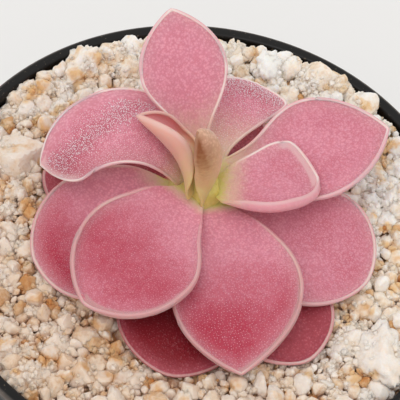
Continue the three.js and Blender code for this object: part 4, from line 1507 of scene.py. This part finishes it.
def potMaterial():
    material, tree, shader = newMaterial("PotPlastic", potFinish["plastic"])
    place = readPlace(tree)
    blotch = mottleAt(tree, place, potFinish["blotches"])
    height = readHeight(tree, place)
    level = addNode(tree, "ShaderNodeVectorMath", {0: place, 1: (1.0, 1.0, 0.0)}, operation="MULTIPLY")
    radius = addNode(tree, "ShaderNodeVectorMath", {0: level.outputs[0]}, operation="LENGTH").outputs["Value"]
    # the lip's outer edge is paler: wear and a painted highlight along it
    (fromRadius, fromHeight), (toRadius, toHeight) = potFinish["wearAndHighlightFrom"], potFinish["wearAndHighlightTo"]
    worn = mapRange(tree, radius, fromRadius * mm, toRadius * mm)
    worn = math2(tree, "MULTIPLY", worn, mapRange(tree, height, fromHeight * mm, toHeight * mm))
    worn = math2(tree, "MULTIPLY", worn, between(tree, blotch, 0.4, 0.9))
    low, high = potFinish["dustHeights"]
    specks = mapRange(tree, noiseAt(tree, place, potFinish["specks"], 2.0), 0.66, 0.74)
    dust = math2(tree, "MULTIPLY", specks, mapRange(tree, height, low * mm, high * mm, 0.1, 0.35))
    body = mixColors(tree, blotch, paint(*potFinish["black"][0]), paint(*potFinish["black"][1]))
    body = mixColors(tree, worn, body, paint(*potFinish["worn"]))
    body = mixColors(tree, dust, body, paint(*potFinish["dust"]))
    tree.links.new(body, shader.inputs["Base Color"])
    tree.links.new(between(tree, blotch, *potFinish["roughness"]), shader.inputs["Roughness"])
    setBump(tree, shader, noiseAt(tree, place, potFinish["grain"], 3.0), *potFinish["bump"])
    return material


outline = bpy.data.meshes.new("PotOutline")
profile = potProfile()
steps = [(k, k + 1) for k in range(len(profile) - 1)]
outline.from_pydata([(x * mm, 0, z * mm) for x, z in profile], steps, [])
holder = addObject("PotHolder", outline)
potMesh = runTree(
    holder, turnedTree(),
    {
        "Sides": pot["sides"], "Points": len(profile), "Holes": pot["holes"],
        "Hole Radius": pot["holeRadius"] * mm, "Hole Circle": pot["holeCircle"] * mm,
        "Material": potMaterial(),
    },
)
bpy.data.objects.remove(holder)
smoothShade(potMesh)
potMesh.set_sharp_from_angle(angle=math.radians(40))
piece = addObject("Pot", potMesh)
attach(piece, "root")
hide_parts("pot")
print("pot turned, faces:", len(potMesh.polygons))

# Floor and light

studio = {
    "floor": (0.86, 0.85, 0.838),
    "floorHalf": 2.0,
    "world": (1.0, 0.995, 0.985),
    "worldStrength": 0.86,
    "keyPower": 1.6,
    "keySize": 0.6,
    "keyPlace": (-0.16, -0.24, 0.8),
    "keyAim": (0, 0, 0.07),
}


def addFloor():
    half = studio["floorHalf"]
    mesh = bpy.data.meshes.new("StudioFloor")
    corners = [(-half, -half, 0), (half, -half, 0), (half, half, 0), (-half, half, 0)]
    mesh.from_pydata(corners, [], [(0, 1, 2, 3)])
    paper = newMaterial("FloorPaper", {"Base Color": (*studio["floor"], 1), "Roughness": 0.9})[0]
    floor = addObject("StudioFloor", mesh, paper)


def addLights():
    world = bpy.data.worlds.new("StudioWorld")
    bpy.context.scene.world = world
    world.use_nodes = True
    background = world.node_tree.nodes["Background"]
    background.inputs["Color"].default_value = (*studio["world"], 1)
    background.inputs["Strength"].default_value = studio["worldStrength"]
    data = bpy.data.lights.new("SoftKey", "AREA")
    data.shape = "DISK"
    data.size = studio["keySize"]
    data.energy = studio["keyPower"]
    key = bpy.data.objects.new("SoftKey", data)
    bpy.context.scene.collection.objects.link(key)
    place = Vector(studio["keyPlace"])
    key.location = place
    key.rotation_mode = "QUATERNION"
    key.rotation_quaternion = (place - Vector(studio["keyAim"])).to_track_quat("Z", "Y")


addFloor()
addLights()
bpy.context.scene.view_settings.view_transform = "Standard"
print("studio set")
